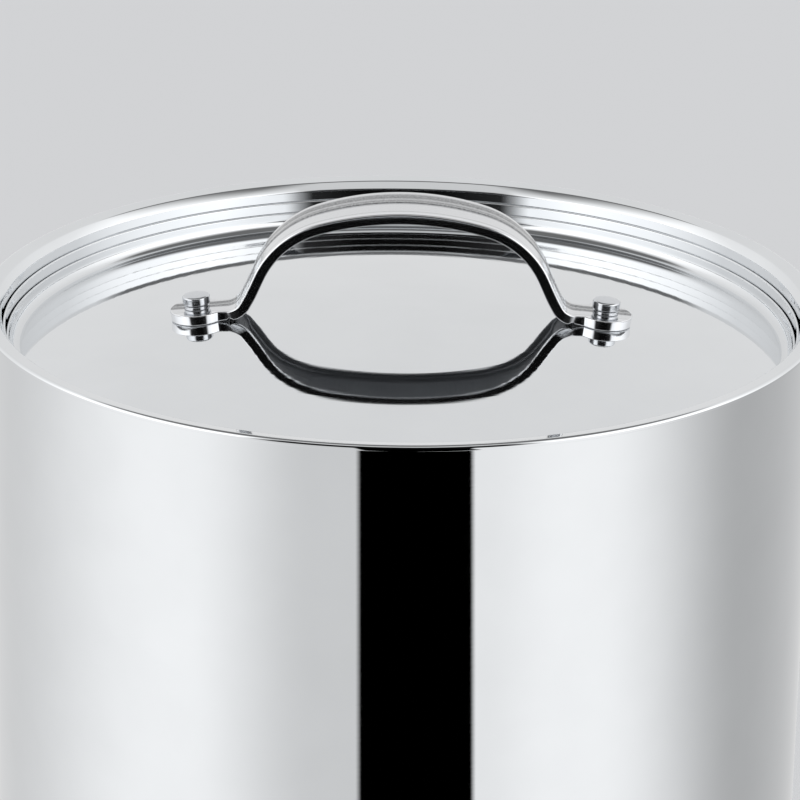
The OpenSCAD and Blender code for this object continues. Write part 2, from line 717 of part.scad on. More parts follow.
module inlet_pins() {
  back = casing_r + flange_out - socket_depth;
  color(brass_c) for (p = [[-1, -1], [1, 0], [-1, 1]])
    translate([p[0] * pin_step / 2 - pin_w, back - inlet_back - tag_l, inlet_z + p[1] * pin_pitch - pin_w / 2])
      cube([2 * pin_w, pin_l + inlet_back + tag_l, pin_w]);
}

module inlet_screws() {
  face = casing_r + flange_out;
  tip = casing_r - casing_t - nut_seat - small_nut_h - 1;
  head_r = small_head_d / 2;
  color(zinc) for (s = [-1, 1]) translate([0, 0, inlet_z + s * inlet_screw_span / 2]) rotate([-90, 0, 0]) {
    translate([0, 0, tip]) cylinder(d = small_d, h = face - tip + small_head_h / 2, $fn = 32);
    translate([0, 0, face]) turned([[0, 0], [head_r, 0], [head_r - 0.2, small_head_h / 2],
      [head_r - 1.2, small_head_h - 0.2], [0, small_head_h]]);
  }
}

module inlet_nuts() {
  color(zinc) for (s = [-1, 1]) translate([0, 0, inlet_z + s * inlet_screw_span / 2]) rotate([-90, 0, 0])
    translate([0, 0, casing_r - casing_t - nut_seat - small_nut_h])
      hex_nut(small_nut_d, small_nut_h, small_d + 2 * run_gap);
}

module terminal_block() {
  color([0.92, 0.92, 0.88]) difference() {
    translate([block_at[0] - block_size[0] / 2, block_at[1] - block_size[1] / 2, casing_z]) cube(block_size);
    for (i = [-1:1], s = [-1, 1]) translate([block_at[0] + i * block_pitch, block_at[1] + s * 5, casing_z + block_size[2] - 5])
      cylinder(d = 4, h = 6, $fn = 32);
  }
}

module terminal_screws() {
  color(zinc) for (i = [-1:1], s = [-1, 1])
    translate([block_at[0] + i * block_pitch, block_at[1] + s * 5, casing_z + block_size[2] - 5])
      cylinder(d = 4 - 2 * fit, h = 3, $fn = 32);
}

module earth_stud() {
  color(brass_c) translate([earth_at[0], earth_at[1], casing_z]) {
    cylinder(d = 9, h = 1.5, $fn = 32);
    cylinder(d = 4, h = 14, $fn = 32);
  }
}

module earth_nut() {
  color(brass_c) translate([earth_at[0], earth_at[1], casing_z + 4]) hex_nut(8, 3.2, 4 + 2 * run_gap);
}

module inner_wiring() {
  back_y = casing_r + flange_out - socket_depth - inlet_back - tag_l;
  pin_x = pin_step / 2;
  block_side = block_at[1] + block_size[1] / 2;
  stat_y = bracket_y + bracket_t + stat_depth + tag_l;
  stat_tag_z = knob_z - stat_tag_drop + tag_t / 2;
  block_z = casing_z + block_size[2] / 2;
  element_tag = concat(polar(element_ring_d / 2, 90 + element_gap_a - 4.2), [plate_z - terminal_l - tag_l]);
  element_tag2 = concat(polar(element_ring_d / 2, 90 - element_gap_a + 4.2), [plate_z - terminal_l - tag_l]);
  cut_z = pan_under_z - cutout_h - tag_l;
  color("brown") {
    // Line and neutral from the inlet to the terminal block
    for (i = [-1, 1]) run_through([
      [-pin_x, back_y - lead_gap, inlet_z + i * pin_pitch],
      [-pin_x, back_y - 7, inlet_z + i * pin_pitch],
      [-pin_x - 8, back_y - 16, inlet_z + i * pin_pitch],
      [block_at[0] + i * block_pitch, block_side + 14, block_z],
      [block_at[0] + i * block_pitch, block_side + lead_gap, block_z]], lead_d);
    // Earth from the inlet to its stud
    run_through([
      [pin_x, back_y - lead_gap, inlet_z],
      [pin_x, back_y - 7, inlet_z],
      [pin_x, back_y - 14, inlet_z - 8],
      [earth_at[0] + 2, earth_at[1] + 9, casing_z + 5.6],
      [earth_at[0] + 2, earth_at[1] + 4.4, casing_z + 5.6]], lead_d);
    // Line to the thermostat
    run_through([
      [block_at[0] - block_pitch, block_at[1] - block_size[1] / 2 - lead_gap, block_z],
      [block_at[0] - block_pitch, 20, block_z],
      [-stat_tag_x, stat_y + 14, stat_tag_z],
      [-stat_tag_x, stat_y + lead_gap, stat_tag_z]], lead_d);
    // Thermostat to the cut-out
    run_through([
      [stat_tag_x, stat_y + lead_gap, stat_tag_z],
      [stat_tag_x, stat_y + 12, stat_tag_z],
      [cutout_x, -30, shield_z - 12],
      [cutout_x, -cutout_tag_y - 1, shield_z - 5],
      [cutout_x, -cutout_tag_y, cut_z - lead_gap]], lead_d);
    // Cut-out to the element
    run_through([
      [cutout_x, cutout_tag_y, cut_z - lead_gap],
      [cutout_x, cutout_tag_y + 1, shield_z - 5],
      [element_tag2[0] + 6, element_tag2[1] + 4, shield_z - 8],
      [element_tag2[0], element_tag2[1], shield_z - 8],
      element_tag2 - [0, 0, lead_gap]], lead_d);
    // Element back to neutral
    run_through([
      element_tag - [0, 0, lead_gap],
      [element_tag[0], element_tag[1], shield_z - 8],
      [block_at[0] + block_pitch, 20, block_z + 10],
      [block_at[0] + block_pitch, 20, block_z],
      [block_at[0] + block_pitch, block_at[1] - block_size[1] / 2 - lead_gap, block_z]], lead_d);
  }
}

// ---- Soup pot and lid ----------------------------------------------------

// The pot's flange bends up at its edge, and a band welded on that edge stands up as the rim
module soup_pot() {
  lip_bend = 4;
  flange_c = [pot_r + lip_bend, pot_seat_z - lip_bend];
  floor_c = [pot_r - pot_floor_r, pot_under_z + pot_t + pot_floor_r];
  rim_c = [rim_in_r - seat_bend, pot_seat_z + seat_bend];
  color(steel) turned(concat(
    [[0, pot_under_z], [0, pot_under_z + pot_t]],
    arc(floor_c, pot_floor_r, -90, 0),
    arc(flange_c, lip_bend, 180, 90),
    arc(rim_c, seat_bend, -90, 0),
    arc(rim_c, seat_bend + pot_t, 0, -90),
    arc(flange_c, lip_bend - pot_t, 90, 180),
    arc(floor_c, pot_floor_r + pot_t, 0, -90)));
}

module pot_rim() {
  rim_top_c = [rim_r - pot_t / 2, kettle_h - pot_rim_drop - pot_t / 2];
  color(steel) turned(concat(
    [[rim_in_r, pot_seat_z + seat_bend]],
    arc(rim_top_c, pot_t / 2, 180, 0),
    [[rim_r, pot_seat_z + seat_bend]]));
}

module lid_pan() {
  edge_c = [cove_x + cove_r + lid_t / 2, kettle_h - lid_edge_drop - lid_t / 2];
  color(bright) difference() {
    turned(concat(
      arc([0, dome_z], dome_r, 90, 90 - dome_a, 20),
      arc([cove_x, cove_z], cove_r, -90 - dome_a, 0),
      arc(edge_c, lid_t / 2, 180, 0),
      arc([cove_x, cove_z], cove_r + lid_t, 0, -90 - dome_a),
      arc([0, dome_z], dome_r - lid_t, 90 - dome_a, 90, 20)));
    at_rivets() translate([0, 0, -5]) cylinder(d = rivet_d + 2 * fit, h = 10, $fn = 32);
  }
}

// Half of the strap's side path at a depth below its upper face, from the crown to the tab's end
function strap_path(depth) = concat(
  arc(crown_c, crown_r - depth, 90, 90 - crown_a, 10),
  arc(shoulder_c, shoulder_r - depth, 90 - crown_a, 90 - leg_a, 8),
  arc(foot_c, foot_bend_r + depth, 270 - leg_a, 270 - tab_a, 4),
  [[tab_end_x, (tab_level - depth - tab_n[0] * tab_end_x) / tab_n[1]]]);

// Side view of the strap between two depths
module strap_side(top, bottom) {
  upper = strap_path(top);
  lower = strap_path(bottom);
  polygon(concat(reversed(mirrored_x(upper)), upper, reversed(lower), mirrored_x(lower)));
}

// Half width of the strap at a distance x from the middle
function strap_half_w(x) =
  let (t = min(1, x / foot_x))
  strap_crown_w / 2 - (strap_crown_w - strap_neck_w) / 2 * pow(t, 4);

// Upper edge of the strap's plan, from the middle to a reach along X, drawn in by an inset
function strap_edge(inset, reach) = let (n = 16) [for (i = [0:n])
  let (x = reach * i / n) [x, strap_half_w(x) - inset]];

// Plan mirrored into all four quarters from one edge and what closes it at the end
module strap_plan(edge, end) {
  right = concat(edge, end, reversed([for (p = edge) [p[0], -p[1]]]));
  polygon(concat(right, reversed(mirrored_x(right))));
}

module lid_handle() {
  leg_x = foot_x - 1;
  neck_a = asin(strap_neck_w / 2 / tab_r);
  neck_x = rivet_span / 2 - tab_r * cos(neck_a) - 0.2;
  color(bright) difference() {
    intersection() {
      translate([0, strap_crown_w, 0]) rotate([90, 0, 0]) linear_extrude(2 * strap_crown_w)
        strap_side(0, strap_depth);
      translate([0, 0, lid_low_z]) linear_extrude(2 * handle_h)
        strap_plan(strap_edge(0, neck_x), arc([rivet_span / 2, 0], tab_r, 180 - neck_a, neck_a - 180, 36));
    }
    intersection() {
      translate([0, strap_crown_w, 0]) rotate([90, 0, 0]) linear_extrude(2 * strap_crown_w)
        strap_side(strap_t, strap_depth + 1);
      translate([0, 0, lid_low_z]) linear_extrude(2 * handle_h) strap_plan(strap_edge(strap_t, leg_x), []);
    }
    at_rivets() translate([0, 0, -1]) cylinder(d = rivet_d + 2 * fit, h = strap_depth + 5, $fn = 32);
  }
}

module lid_rivets() {
  head_z = strap_depth + seat_gap + rivet_collar_h;
  head_r = rivet_head_d / 2;
  color(bright) at_rivets() {
    translate([0, 0, -lid_t - 2.5]) cylinder(d = rivet_d, h = lid_t + 2.5 + head_z + 0.5, $fn = 32);
    translate([0, 0, head_z]) turned([[0, 0], [head_r - 0.3, 0], [head_r, 0.4], [head_r, rivet_head_h - 1],
      [head_r - 0.5, rivet_head_h - 0.3], [head_r - 1.3, rivet_head_h], [0, rivet_head_h]]);
  }
}

module rivet_collars() {
  color(bright) at_rivets() translate([0, 0, strap_depth + seat_gap]) difference() {
    cylinder(d = rivet_head_d - 0.8, h = rivet_collar_h, $fn = 64);
    translate([0, 0, -1]) cylinder(d = rivet_d + 2 * run_gap, h = rivet_collar_h + 2, $fn = 32);
  }
}

module rivet_burrs() {
  color(bright) at_rivets() translate([0, 0, -lid_t - seat_gap - 1.5]) difference() {
    cylinder(d = burr_d, h = 1.5, $fn = 48);
    translate([0, 0, -1]) cylinder(d = rivet_d + 2 * run_gap, h = 4, $fn = 32);
  }
}

// ---- Assembly ------------------------------------------------------------

outer_casing();
top_collar();
base_plate();
feet();
foot_screws();
foot_nuts();
water_pan();
heater_plate();
heating_element();
element_terminals();
element_clamp();
centre_stud();
stud_nuts();
shield_spacer();
heat_shield();
thermostat();
thermostat_bracket();
thermostat_screws();
thermostat_bulb();
bulb_clips();
thermal_cutout();
cutout_nuts();
dial_bezel();
thermostat_shaft();
control_knob();
knob_spring();
lamp_body();
lamp_lens();
lamp_clip();
power_inlet();
inlet_pins();
inlet_screws();
inlet_nuts();
terminal_block();
terminal_screws();
earth_stud();
earth_nut();
inner_wiring();
soup_pot();
pot_rim();
lid_pan();
lid_handle();
lid_rivets();
rivet_collars();
rivet_burrs();
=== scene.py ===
# %% [markdown]
# # A polished soup kettle, dressed for the camera
# The kettle is an electric wet-heat soup kettle: a mirror-polished round casing, a sunken lid with
# a riveted strap handle, a lift-out pot over a water pan, and a knob, lamp and power inlet low on
# the casing. Its measured parts are loaded as a fixed frame. Each cell below then makes one piece
# or one finish on that frame, so the cells can be read and run from top to bottom.

# %% Load the measured parts
import json
import math

import bmesh
import bpy
from mathutils import Matrix, Vector


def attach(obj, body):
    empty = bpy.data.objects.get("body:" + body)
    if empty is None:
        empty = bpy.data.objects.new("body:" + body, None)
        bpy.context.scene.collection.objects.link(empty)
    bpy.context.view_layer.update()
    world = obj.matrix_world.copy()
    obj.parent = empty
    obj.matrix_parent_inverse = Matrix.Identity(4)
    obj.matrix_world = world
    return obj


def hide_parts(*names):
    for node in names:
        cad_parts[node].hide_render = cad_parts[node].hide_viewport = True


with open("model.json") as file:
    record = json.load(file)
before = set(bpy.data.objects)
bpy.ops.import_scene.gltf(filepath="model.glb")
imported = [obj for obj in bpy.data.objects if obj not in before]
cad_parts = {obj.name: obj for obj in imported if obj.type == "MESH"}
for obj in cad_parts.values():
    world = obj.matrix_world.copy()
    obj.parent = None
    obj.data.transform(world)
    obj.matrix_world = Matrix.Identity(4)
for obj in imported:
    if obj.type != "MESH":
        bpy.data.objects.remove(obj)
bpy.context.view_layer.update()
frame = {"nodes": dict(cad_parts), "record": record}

MM = 0.001
parts = frame["nodes"]

# %% [markdown]
# ## Camera
# A close view from a little above the lid, with a long lens, so that the round casing fills the
# frame and its lines stay nearly parallel. The camera is aimed from the middle of the lip, because
# the lip is the one circle that is seen all round. A very slight roll lowers its right side.

# %% Camera
LIP_Z = 335.0  # height of the lip, in mm
view_distance, view_height_angle = 1400.0, math.radians(18.62)
view_pitch, view_roll = math.radians(20.23), math.radians(0.74)

camera_data = bpy.data.cameras.new("camera")
camera_data.sensor_width = 36
camera_data.lens = 166.4
camera_data.clip_start, camera_data.clip_end = 0.05, 60
camera = bpy.data.objects.new("camera", camera_data)
bpy.context.scene.collection.objects.link(camera)
bpy.context.scene.camera = camera
bpy.context.scene.view_settings.view_transform = "Standard"

look = Vector((0, math.cos(view_pitch), -math.sin(view_pitch)))
level_right = Vector((1, 0, 0))
level_up = level_right.cross(look)
right = math.cos(view_roll) * level_right + math.sin(view_roll) * level_up
up = -math.sin(view_roll) * level_right + math.cos(view_roll) * level_up
turn = Matrix((right, up, -look)).transposed()
eye = MM * Vector((0, -view_distance * math.cos(view_height_angle),
                   LIP_Z + view_distance * math.sin(view_height_angle)))
camera.matrix_world = Matrix.Translation(eye) @ turn.to_4x4()
print("camera stands", round(eye.length, 3), "m from the kettle's foot")

# %% [markdown]
# ## Small tools
# One function adds a node to any tree with its settings and links. One turns a written colour into
# the linear light values that Blender works in. The rest make turned shapes: a profile of (radius,
# height) points in millimetres is spun about the kettle's axis. Sharp profile corners get a tiny
# radius, because real sheet edges are never knife sharp and the radius is what catches the light.

# %% Nodes and colours
def add_node(tree, kind, inputs=None, **settings):
    made = tree.nodes.new(kind)
    for name, value in settings.items():
        setattr(made, name, value)
    for name, value in (inputs or {}).items():
        socket = made.inputs[name]
        if isinstance(value, bpy.types.NodeSocket):
            tree.links.new(value, socket)
        else:
            socket.default_value = value
    return made


def maths(tree, operation, *values):
    """One step of arithmetic on sockets or plain numbers."""
    return add_node(tree, "ShaderNodeMath", dict(enumerate(values)), operation=operation).outputs[0]


def linear(hex_colour):
    values = [int(hex_colour[i:i + 2], 16) / 255 for i in (1, 3, 5)]
    return tuple(v / 12.92 if v <= 0.04045 else ((v + 0.055) / 1.055) ** 2.4 for v in values) + (1,)


def noise(tree, where, scale, detail, roughness=0.5):
    return add_node(tree, "ShaderNodeTexNoise", {"Vector": where, "Scale": scale, "Detail": detail,
                                                 "Roughness": roughness}).outputs["Fac"]


def spread(tree, value, low, high, to_low=0.0, to_high=1.0, **settings):
    """A value between low and high, carried over to the range between to_low and to_high."""
    return add_node(tree, "ShaderNodeMapRange", {"Value": value, "From Min": low, "From Max": high,
                                                 "To Min": to_low, "To Max": to_high},
                    **settings).outputs["Result"]


def two_greys(tree, share, light, dark):
    """A colour between two written ones."""
    return add_node(tree, "ShaderNodeMix", {0: share, 6: linear(light), 7: linear(dark)},
                    data_type="RGBA").outputs[2]


def relief(tree, height, strength, distance, under=None):
    """Bump of a given depth in metres, laid over an earlier one if there is any."""
    inputs = {"Height": height, "Strength": strength, "Distance": distance}
    if under:
        inputs["Normal"] = under
    return add_node(tree, "ShaderNodeBump", inputs).outputs["Normal"]


def blank_material(name):
    """A material with an empty tree, and the object's own coordinates to draw it by."""
    made = bpy.data.materials.new(name)
    made.use_nodes = True
    made.node_tree.nodes.clear()
    return made, made.node_tree, add_node(made.node_tree, "ShaderNodeTexCoord").outputs["Object"]


def skinned(tree, **inputs):
    """Closes a material with one surface; the inputs are the surface's, with _ for a blank."""
    skin = add_node(tree, "ShaderNodeBsdfPrincipled",
                    {name.replace("_", " "): value for name, value in inputs.items()})
    add_node(tree, "ShaderNodeOutputMaterial", {"Surface": skin.outputs["BSDF"]})


def grey_ramp(tree, factor, stops, low, high, peak=2.5, blend="LINEAR"):
    """Brightness by position: stops of (position, light) between two ends."""
    ramp = add_node(tree, "ShaderNodeValToRGB", {"Fac": spread(tree, factor, low, high)})
    ramp.color_ramp.interpolation = blend
    marks = ramp.color_ramp.elements
    while len(marks) > 1:
        marks.remove(marks[-1])
    for i, (position, light) in enumerate(stops):
        at = (position - low) / (high - low)
        mark = marks[0] if i == 0 else marks.new(at)
        mark.position = at
        mark.color = (light / peak,) * 3 + (1,)
    return maths(tree, "MULTIPLY", ramp.outputs["Color"], peak)


print("mid grey in linear light:", round(linear("#808080")[0], 3))


# %% Profiles
def arc(cx, cz, radius, start, end, steps=10):
    angles = [math.radians(start + (end - start) * i / steps) for i in range(steps + 1)]
    return [(cx + radius * math.cos(a), cz + radius * math.sin(a)) for a in angles]


def clean(profile):
    kept = []
    for p in profile:
        if not kept or math.dist(p, kept[-1]) > 1e-4:
            kept.append(p)
    if math.dist(kept[0], kept[-1]) < 1e-4:
        kept.pop()
    return kept


def eased(profile, radius=0.15):
    """A closed profile with its sharp corners rounded, and two extra points on each long side,
    close to its ends, so that the shading of flat sides stays flat."""
    profile = clean(profile)
    n, out = len(profile), []
    for i, p in enumerate(profile):
        p, a, b = Vector(p), Vector(profile[i - 1]), Vector(profile[(i + 1) % n])
        u, v = (a - p), (b - p)
        turn_angle = math.pi - u.angle(v)
        cut = min(radius * math.tan(turn_angle / 2), 0.45 * u.length, 0.45 * v.length)
        if math.degrees(turn_angle) < 28 or p.x < 1e-6:
            out.append(p)
            continue
        u.normalize(), v.normalize()
        for k in range(5):
            t = k / 4
            out.append((1 - t) ** 2 * (p + cut * u) + 2 * t * (1 - t) * p + t * t * (p + cut * v))
    n, held = len(out), []
    for i, p in enumerate(out):
        held.append(p)
        q = out[(i + 1) % n]
        length = (q - p).length
        if length > 1.2:
            step = (q - p) / length * 0.04
            held += [p + step, q - step]
    return held


def turned(name, profile, around=256, radius=0.15):
    """Spins a closed profile about the Z axis into a solid with outward faces."""
    points = eased(profile, radius)
    mesh, spun = bpy.data.meshes.new(name), bmesh.new()
    rings = []
    for p in points:
        if p.x < 1e-6:
            rings.append([spun.verts.new((0, 0, p.y * MM))] * around)
            continue
        rings.append([spun.verts.new((MM * p.x * math.cos(a), MM * p.x * math.sin(a), MM * p.y))
                      for a in (2 * math.pi * k / around for k in range(around))])
    for i in range(len(rings)):
        a, b = rings[i], rings[(i + 1) % len(rings)]
        if a[0] is a[1] and b[0] is b[1]:
            continue
        for k in range(around):
            m = (k + 1) % around
            corners = [a[k], a[m], b[m], b[k]]
            spun.faces.new(list(dict.fromkeys(corners)))
    bmesh.ops.recalc_face_normals(spun, faces=spun.faces)
    spun.to_mesh(mesh)
    spun.free()
    return finished(name, mesh)


def finished(name, mesh, sharp=40):
    """Smooth shading with edges over a given angle kept sharp, and the object in the scene."""
    mesh.shade_smooth()
    mesh.set_sharp_from_angle(angle=math.radians(sharp))
    made = bpy.data.objects.new(name, mesh)
    bpy.context.scene.collection.objects.link(made)
    return made


slot_of_part = {s["node"]: s["material_slot"] for s in frame["record"]["subparts"]}


def dress(piece, body, part, *materials, stands_for=True):
    """Gives a piece its finishes and its body, and hides the measured part that it stands for
    unless stands_for is False."""
    finish_of_face = [face.material_index for face in piece.data.polygons]
    piece.data.materials.clear()
    for material in materials:
        piece.data.materials.append(material)
    piece.data.polygons.foreach_set("material_index", finish_of_face)
    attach(piece, body)
    if stands_for:
        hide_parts(part)
    print(piece.name, "-", len(piece.data.polygons), "faces on", body)
    return piece


print("corner radius test:", len(eased([(1, 0), (4, 0), (4, 4), (1, 4)])), "points")

# %% [markdown]
# ## Polished steel
# The kettle is 18/8 stainless sheet, spun and then buffed to a mirror on a wheel. A mirror finish
# shows the room, but it is not glass: the wheel leaves hair-fine rings round the axis. They are a
# real change of slope, so they are drawn as bump, with a haze that comes and goes with them. Rings
# under 0.2 mm apart would vanish, so they are drawn a little coarser than that.

# %% Steel finishes
RING_BREAK = 0.00024  # how soon a ring fades along its length, in metres


def turned_rings(tree, where, spacing):
    """Height of fine rings round the Z axis, a given spacing apart in metres, broken up slowly
    along their length."""
    x, y, z = add_node(tree, "ShaderNodeSeparateXYZ", {"Vector": where}).outputs
    flat = add_node(tree, "ShaderNodeCombineXYZ", {"X": x, "Y": y}).outputs["Vector"]
    radius = add_node(tree, "ShaderNodeVectorMath", {"Vector": flat},
                      operation="LENGTH").outputs["Value"]
    place = add_node(tree, "ShaderNodeCombineXYZ", {
        "X": maths(tree, "MULTIPLY", radius, 1 / spacing),
        "Y": maths(tree, "MULTIPLY", z, 1 / spacing),
        "Z": maths(tree, "MULTIPLY", maths(tree, "ARCTAN2", y, x), RING_BREAK / spacing)})
    return noise(tree, place.outputs["Vector"], 1.0, 2.0, 0.6)


def steel(name, light, dark, roughness, rings=0.0006, ring_depth=0.02, grain=0.0,
          grain_size=0.0006):
    """Stainless steel: two close greys, a haze between two roughness values, rings from the
    buffing wheel, and a pebbled grain where it was tumbled."""
    made, tree, where = blank_material(name)
    ring = turned_rings(tree, where, rings)
    slope = relief(tree, ring, ring_depth, 0.0001)
    if grain:
        slope = relief(tree, noise(tree, where, 1 / grain_size, 1.0), grain, 0.0002, slope)
    skinned(tree, Base_Color=two_greys(tree, noise(tree, where, 38.0, 3.0), light, dark),
            Metallic=1.0, Roughness=spread(tree, ring, 0.3, 0.7, *roughness), Normal=slope)
    return made


# Wheel-buffed stainless sheet: a cool, near-white mirror with the faintest rings.
mirror_steel = steel("buffed_stainless_steel", "#E4E6E8", "#DDDFE1", (0.012, 0.03), ring_depth=0.03)
# The same steel on the lid, where a large, slightly wavy dome shows a calm reflection.
lid_steel = steel("buffed_lid_steel", "#E4E6E8", "#DEE0E2", (0.02, 0.045), ring_depth=0.03)
# The drawn ring round the lid's dome, which the wheel only brushes.
cove_steel = steel("satin_cove_steel", "#E0E2E4", "#D8DADC", (0.05, 0.09), ring_depth=0.05)
# Tumbled and colour-buffed strip, brightest on its rubbed edges.
handle_steel = steel("tumbled_handle_steel", "#DFE1E4", "#CFD2D5", (0.12, 0.22), ring_depth=0.0,
                     grain=0.35, grain_size=0.0007)
# Cold-headed rivet steel, bright but not mirror flat.
rivet_steel = steel("headed_rivet_steel", "#D9DBDE", "#C9CCD0", (0.12, 0.2), grain=0.15,
                    grain_size=0.0012)
# Drawn pot and pan steel with a satin inside from the finishing belt.
pot_steel = steel("satin_drawn_steel", "#D3D5D7", "#C6C8CB", (0.24, 0.34), rings=0.0012,
                  ring_depth=0.25)
# Mill-finish sheet for what is screwed on underneath and inside.
mill_steel = steel("mill_finish_steel", "#C4C6C8", "#B5B7BA", (0.32, 0.45), rings=0.0015,
                   ring_depth=0.2)
steel_count = len(bpy.data.materials)
print("steel finishes:", [m.name for m in bpy.data.materials])

# %% [markdown]
# ## Other finishes
# Moulded black plastic for the knob, its plate and the inlet; pale plastic for the terminal
# block; amber polycarbonate for the lamp; zinc-plated screws, cast aluminium for the heater,
# brass for pins and the earth stud, and black rubber feet. Each one differs from its neighbours
# in how it scatters light more than in its colour, so each has its own grain and its own sheen.

# %% Plastics, rubber and small metals
def moulded(name, light, dark, roughness, grain_size, grain, metallic=0.0):
    """A moulded, cast or plated surface: two close colours, a fine grain and a patchy sheen."""
    made, tree, where = blank_material(name)
    patch = noise(tree, where, 60.0, 3.0)
    fine = noise(tree, where, 1 / grain_size, 2.0)
    skinned(tree, Base_Color=two_greys(tree, patch, light, dark), Metallic=metallic,
            Roughness=spread(tree, patch, 0.3, 0.7, *roughness),
            Normal=relief(tree, fine, grain, 0.0002))
    return made


black_plastic = moulded("moulded_black_phenolic", "#1B1B1C", "#131314", (0.28, 0.42), 0.0009, 0.25)
white_plastic = moulded("moulded_pale_nylon", "#E2E0D8", "#D6D3C8", (0.4, 0.55), 0.0009, 0.2)
rubber = moulded("moulded_black_rubber", "#232324", "#1A1A1B", (0.65, 0.8), 0.0007, 0.4)
zinc = moulded("zinc_plated_steel", "#C9CACB", "#B4B6B6", (0.25, 0.4), 0.0006, 0.15, metallic=1.0)
cast_alloy = moulded("cast_aluminium", "#B9BABC", "#A3A5A8", (0.45, 0.6), 0.0008, 0.5, metallic=1.0)
sheath = moulded("element_sheath_steel", "#8E8B86", "#75726D", (0.4, 0.55), 0.0008, 0.3, metallic=1.0)
brass = moulded("turned_brass", "#D8B765", "#C4A04E", (0.2, 0.32), 0.0006, 0.12, metallic=1.0)
wire_skin = moulded("silicone_wire_sheath", "#9C3B2C", "#8A3124", (0.4, 0.5), 0.0008, 0.15)
print("other finishes:", len(bpy.data.materials) - steel_count)


# %% Amber lamp lens
def amber_lens():
    """Amber polycarbonate: its small prisms are moulded inside, and part of its colour comes from
    light passing through."""
    made, tree, where = blank_material("amber_polycarbonate")
    prism = add_node(tree, "ShaderNodeTexVoronoi", {"Vector": where, "Scale": 900.0}).outputs["Distance"]
    skinned(tree, Base_Color=two_greys(tree, prism, "#F08A1C", "#C85C0A"), Roughness=0.12, IOR=1.58,
            Transmission_Weight=0.35, Normal=relief(tree, prism, 0.3, 0.0003))
    return made


lens_amber = amber_lens()
print("lens:", lens_amber.name)

# %% [markdown]
# ## Finishes on the measured parts
# Many parts already have the right shape, such as the base plate, the heater under the pan and
# the wiring. They keep their measured meshes and only get a finish.

# %% Dress the measured parts
finish_of_slot = {
    "mirror_steel": mirror_steel, "handle_steel": handle_steel, "pot_steel": pot_steel,
    "satin_steel": mill_steel, "zinc_steel": zinc, "cast_aluminium": cast_alloy,
    "element_sheath": sheath, "brass": brass, "black_plastic": black_plastic,
    "white_plastic": white_plastic, "amber_lens": lens_amber, "wire_sheath": wire_skin,
    "black_rubber": rubber,
}
for name, part in parts.items():
    part.data.materials.clear()
    part.data.materials.append(finish_of_slot[slot_of_part[name]])
print("dressed", len(parts), "parts in", len(finish_of_slot), "finishes")

# %% [markdown]
# ## The casing and its collar
# The casing is a plain tube of polished sheet, turned in under the base. A spun collar sits on
# it: a short skirt outside, a lip that slopes gently inwards, a pressed bevel and a straight wall
# inside, down to the shelf that carries the pan. They are made as turned profiles at many more
# steps than the measured meshes, because a mirror shows every facet.

# %% Casing wall
CASING_R, CASING_T, CASING_Z, CASING_BEND = 157.0, 1.0, 13.2, 4.0
FLANGE_W, ROOF_Z = 26.0, LIP_Z - 1.4
KNOB_Z, LAMP_A, INLET_Z = 58.0, 21.0, 52.0
SHAFT_HOLE_R, LAMP_HOLE_R, M4_HOLE_R, M3_HOLE_R = 7.0, 5.05, 2.25, 1.75
KNOB_SCREW_X, INLET_SCREW_Z, FOOT_PITCH_R = 14.0, 20.0, 142.0
INLET_HOLE = (0.0212, 0.02, 0.0288)  # across, through and up, in m
WALL_CUT = (148.0, 164.0)  # how far out a drill through the wall starts and stops
BASE_CUT = (8.0, 18.0)  # how high a drill through the base starts and stops
hole_rows = range(100, 24, -5)  # close rows of faces, so that the holes only disturb their own


def to_front(x=0.0, z=0.0, about=0.0):
    """Turns +Z to face out of the front, at x and z in mm and an angle round the casing."""
    return (Matrix.Rotation(math.radians(about), 4, "Z")
            @ Matrix.Translation((MM * x, 0, MM * z)) @ Matrix.Rotation(math.radians(90), 4, "X"))


def add_drum(cutter, radius, reach, place):
    low, high = reach
    bmesh.ops.create_cone(cutter, cap_ends=True, segments=48, radius1=MM * radius,
                          radius2=MM * radius, depth=MM * (high - low),
                          matrix=place @ Matrix.Translation((0, 0, MM * (low + high) / 2)))


def casing_cutters():
    cutter = bmesh.new()
    add_drum(cutter, SHAFT_HOLE_R, WALL_CUT, to_front(0, KNOB_Z))
    for side in (-1, 1):
        add_drum(cutter, M4_HOLE_R, WALL_CUT, to_front(KNOB_SCREW_X * side, KNOB_Z))
        add_drum(cutter, M3_HOLE_R, WALL_CUT, to_front(0, INLET_Z + INLET_SCREW_Z * side, about=180))
    add_drum(cutter, LAMP_HOLE_R, WALL_CUT, to_front(0, KNOB_Z, LAMP_A))
    for k in range(4):
        foot = Matrix.Rotation(math.radians(45 + 90 * k), 4, "Z")
        add_drum(cutter, M4_HOLE_R, BASE_CUT, foot @ Matrix.Translation((MM * FOOT_PITCH_R, 0, 0)))
    bmesh.ops.create_cube(cutter, size=1, matrix=Matrix.Translation((0, 0.156, MM * INLET_Z))
                          @ Matrix.Diagonal((*INLET_HOLE, 1)))
    return cutter


def settled(piece):
    """Replaces a piece's mesh with the result of its modifiers and removes them."""
    bpy.context.view_layer.update()
    graph = bpy.context.evaluated_depsgraph_get()
    mesh = bpy.data.meshes.new_from_object(piece.evaluated_get(graph))
    piece.modifiers.clear()
    piece.data = mesh
    return piece


def pierce(piece, cutter):
    """Cuts a mesh of plain tools out of a piece, and leaves a plain mesh."""
    mesh = bpy.data.meshes.new("cutter")
    cutter.to_mesh(mesh)
    cutter.free()
    tool = bpy.data.objects.new("cutter", mesh)
    bpy.context.scene.collection.objects.link(tool)
    cut = piece.modifiers.new("cut", "BOOLEAN")
    cut.operation, cut.solver, cut.object = "DIFFERENCE", "EXACT", tool
    settled(piece)
    bpy.data.objects.remove(tool)
    bpy.data.meshes.remove(mesh)


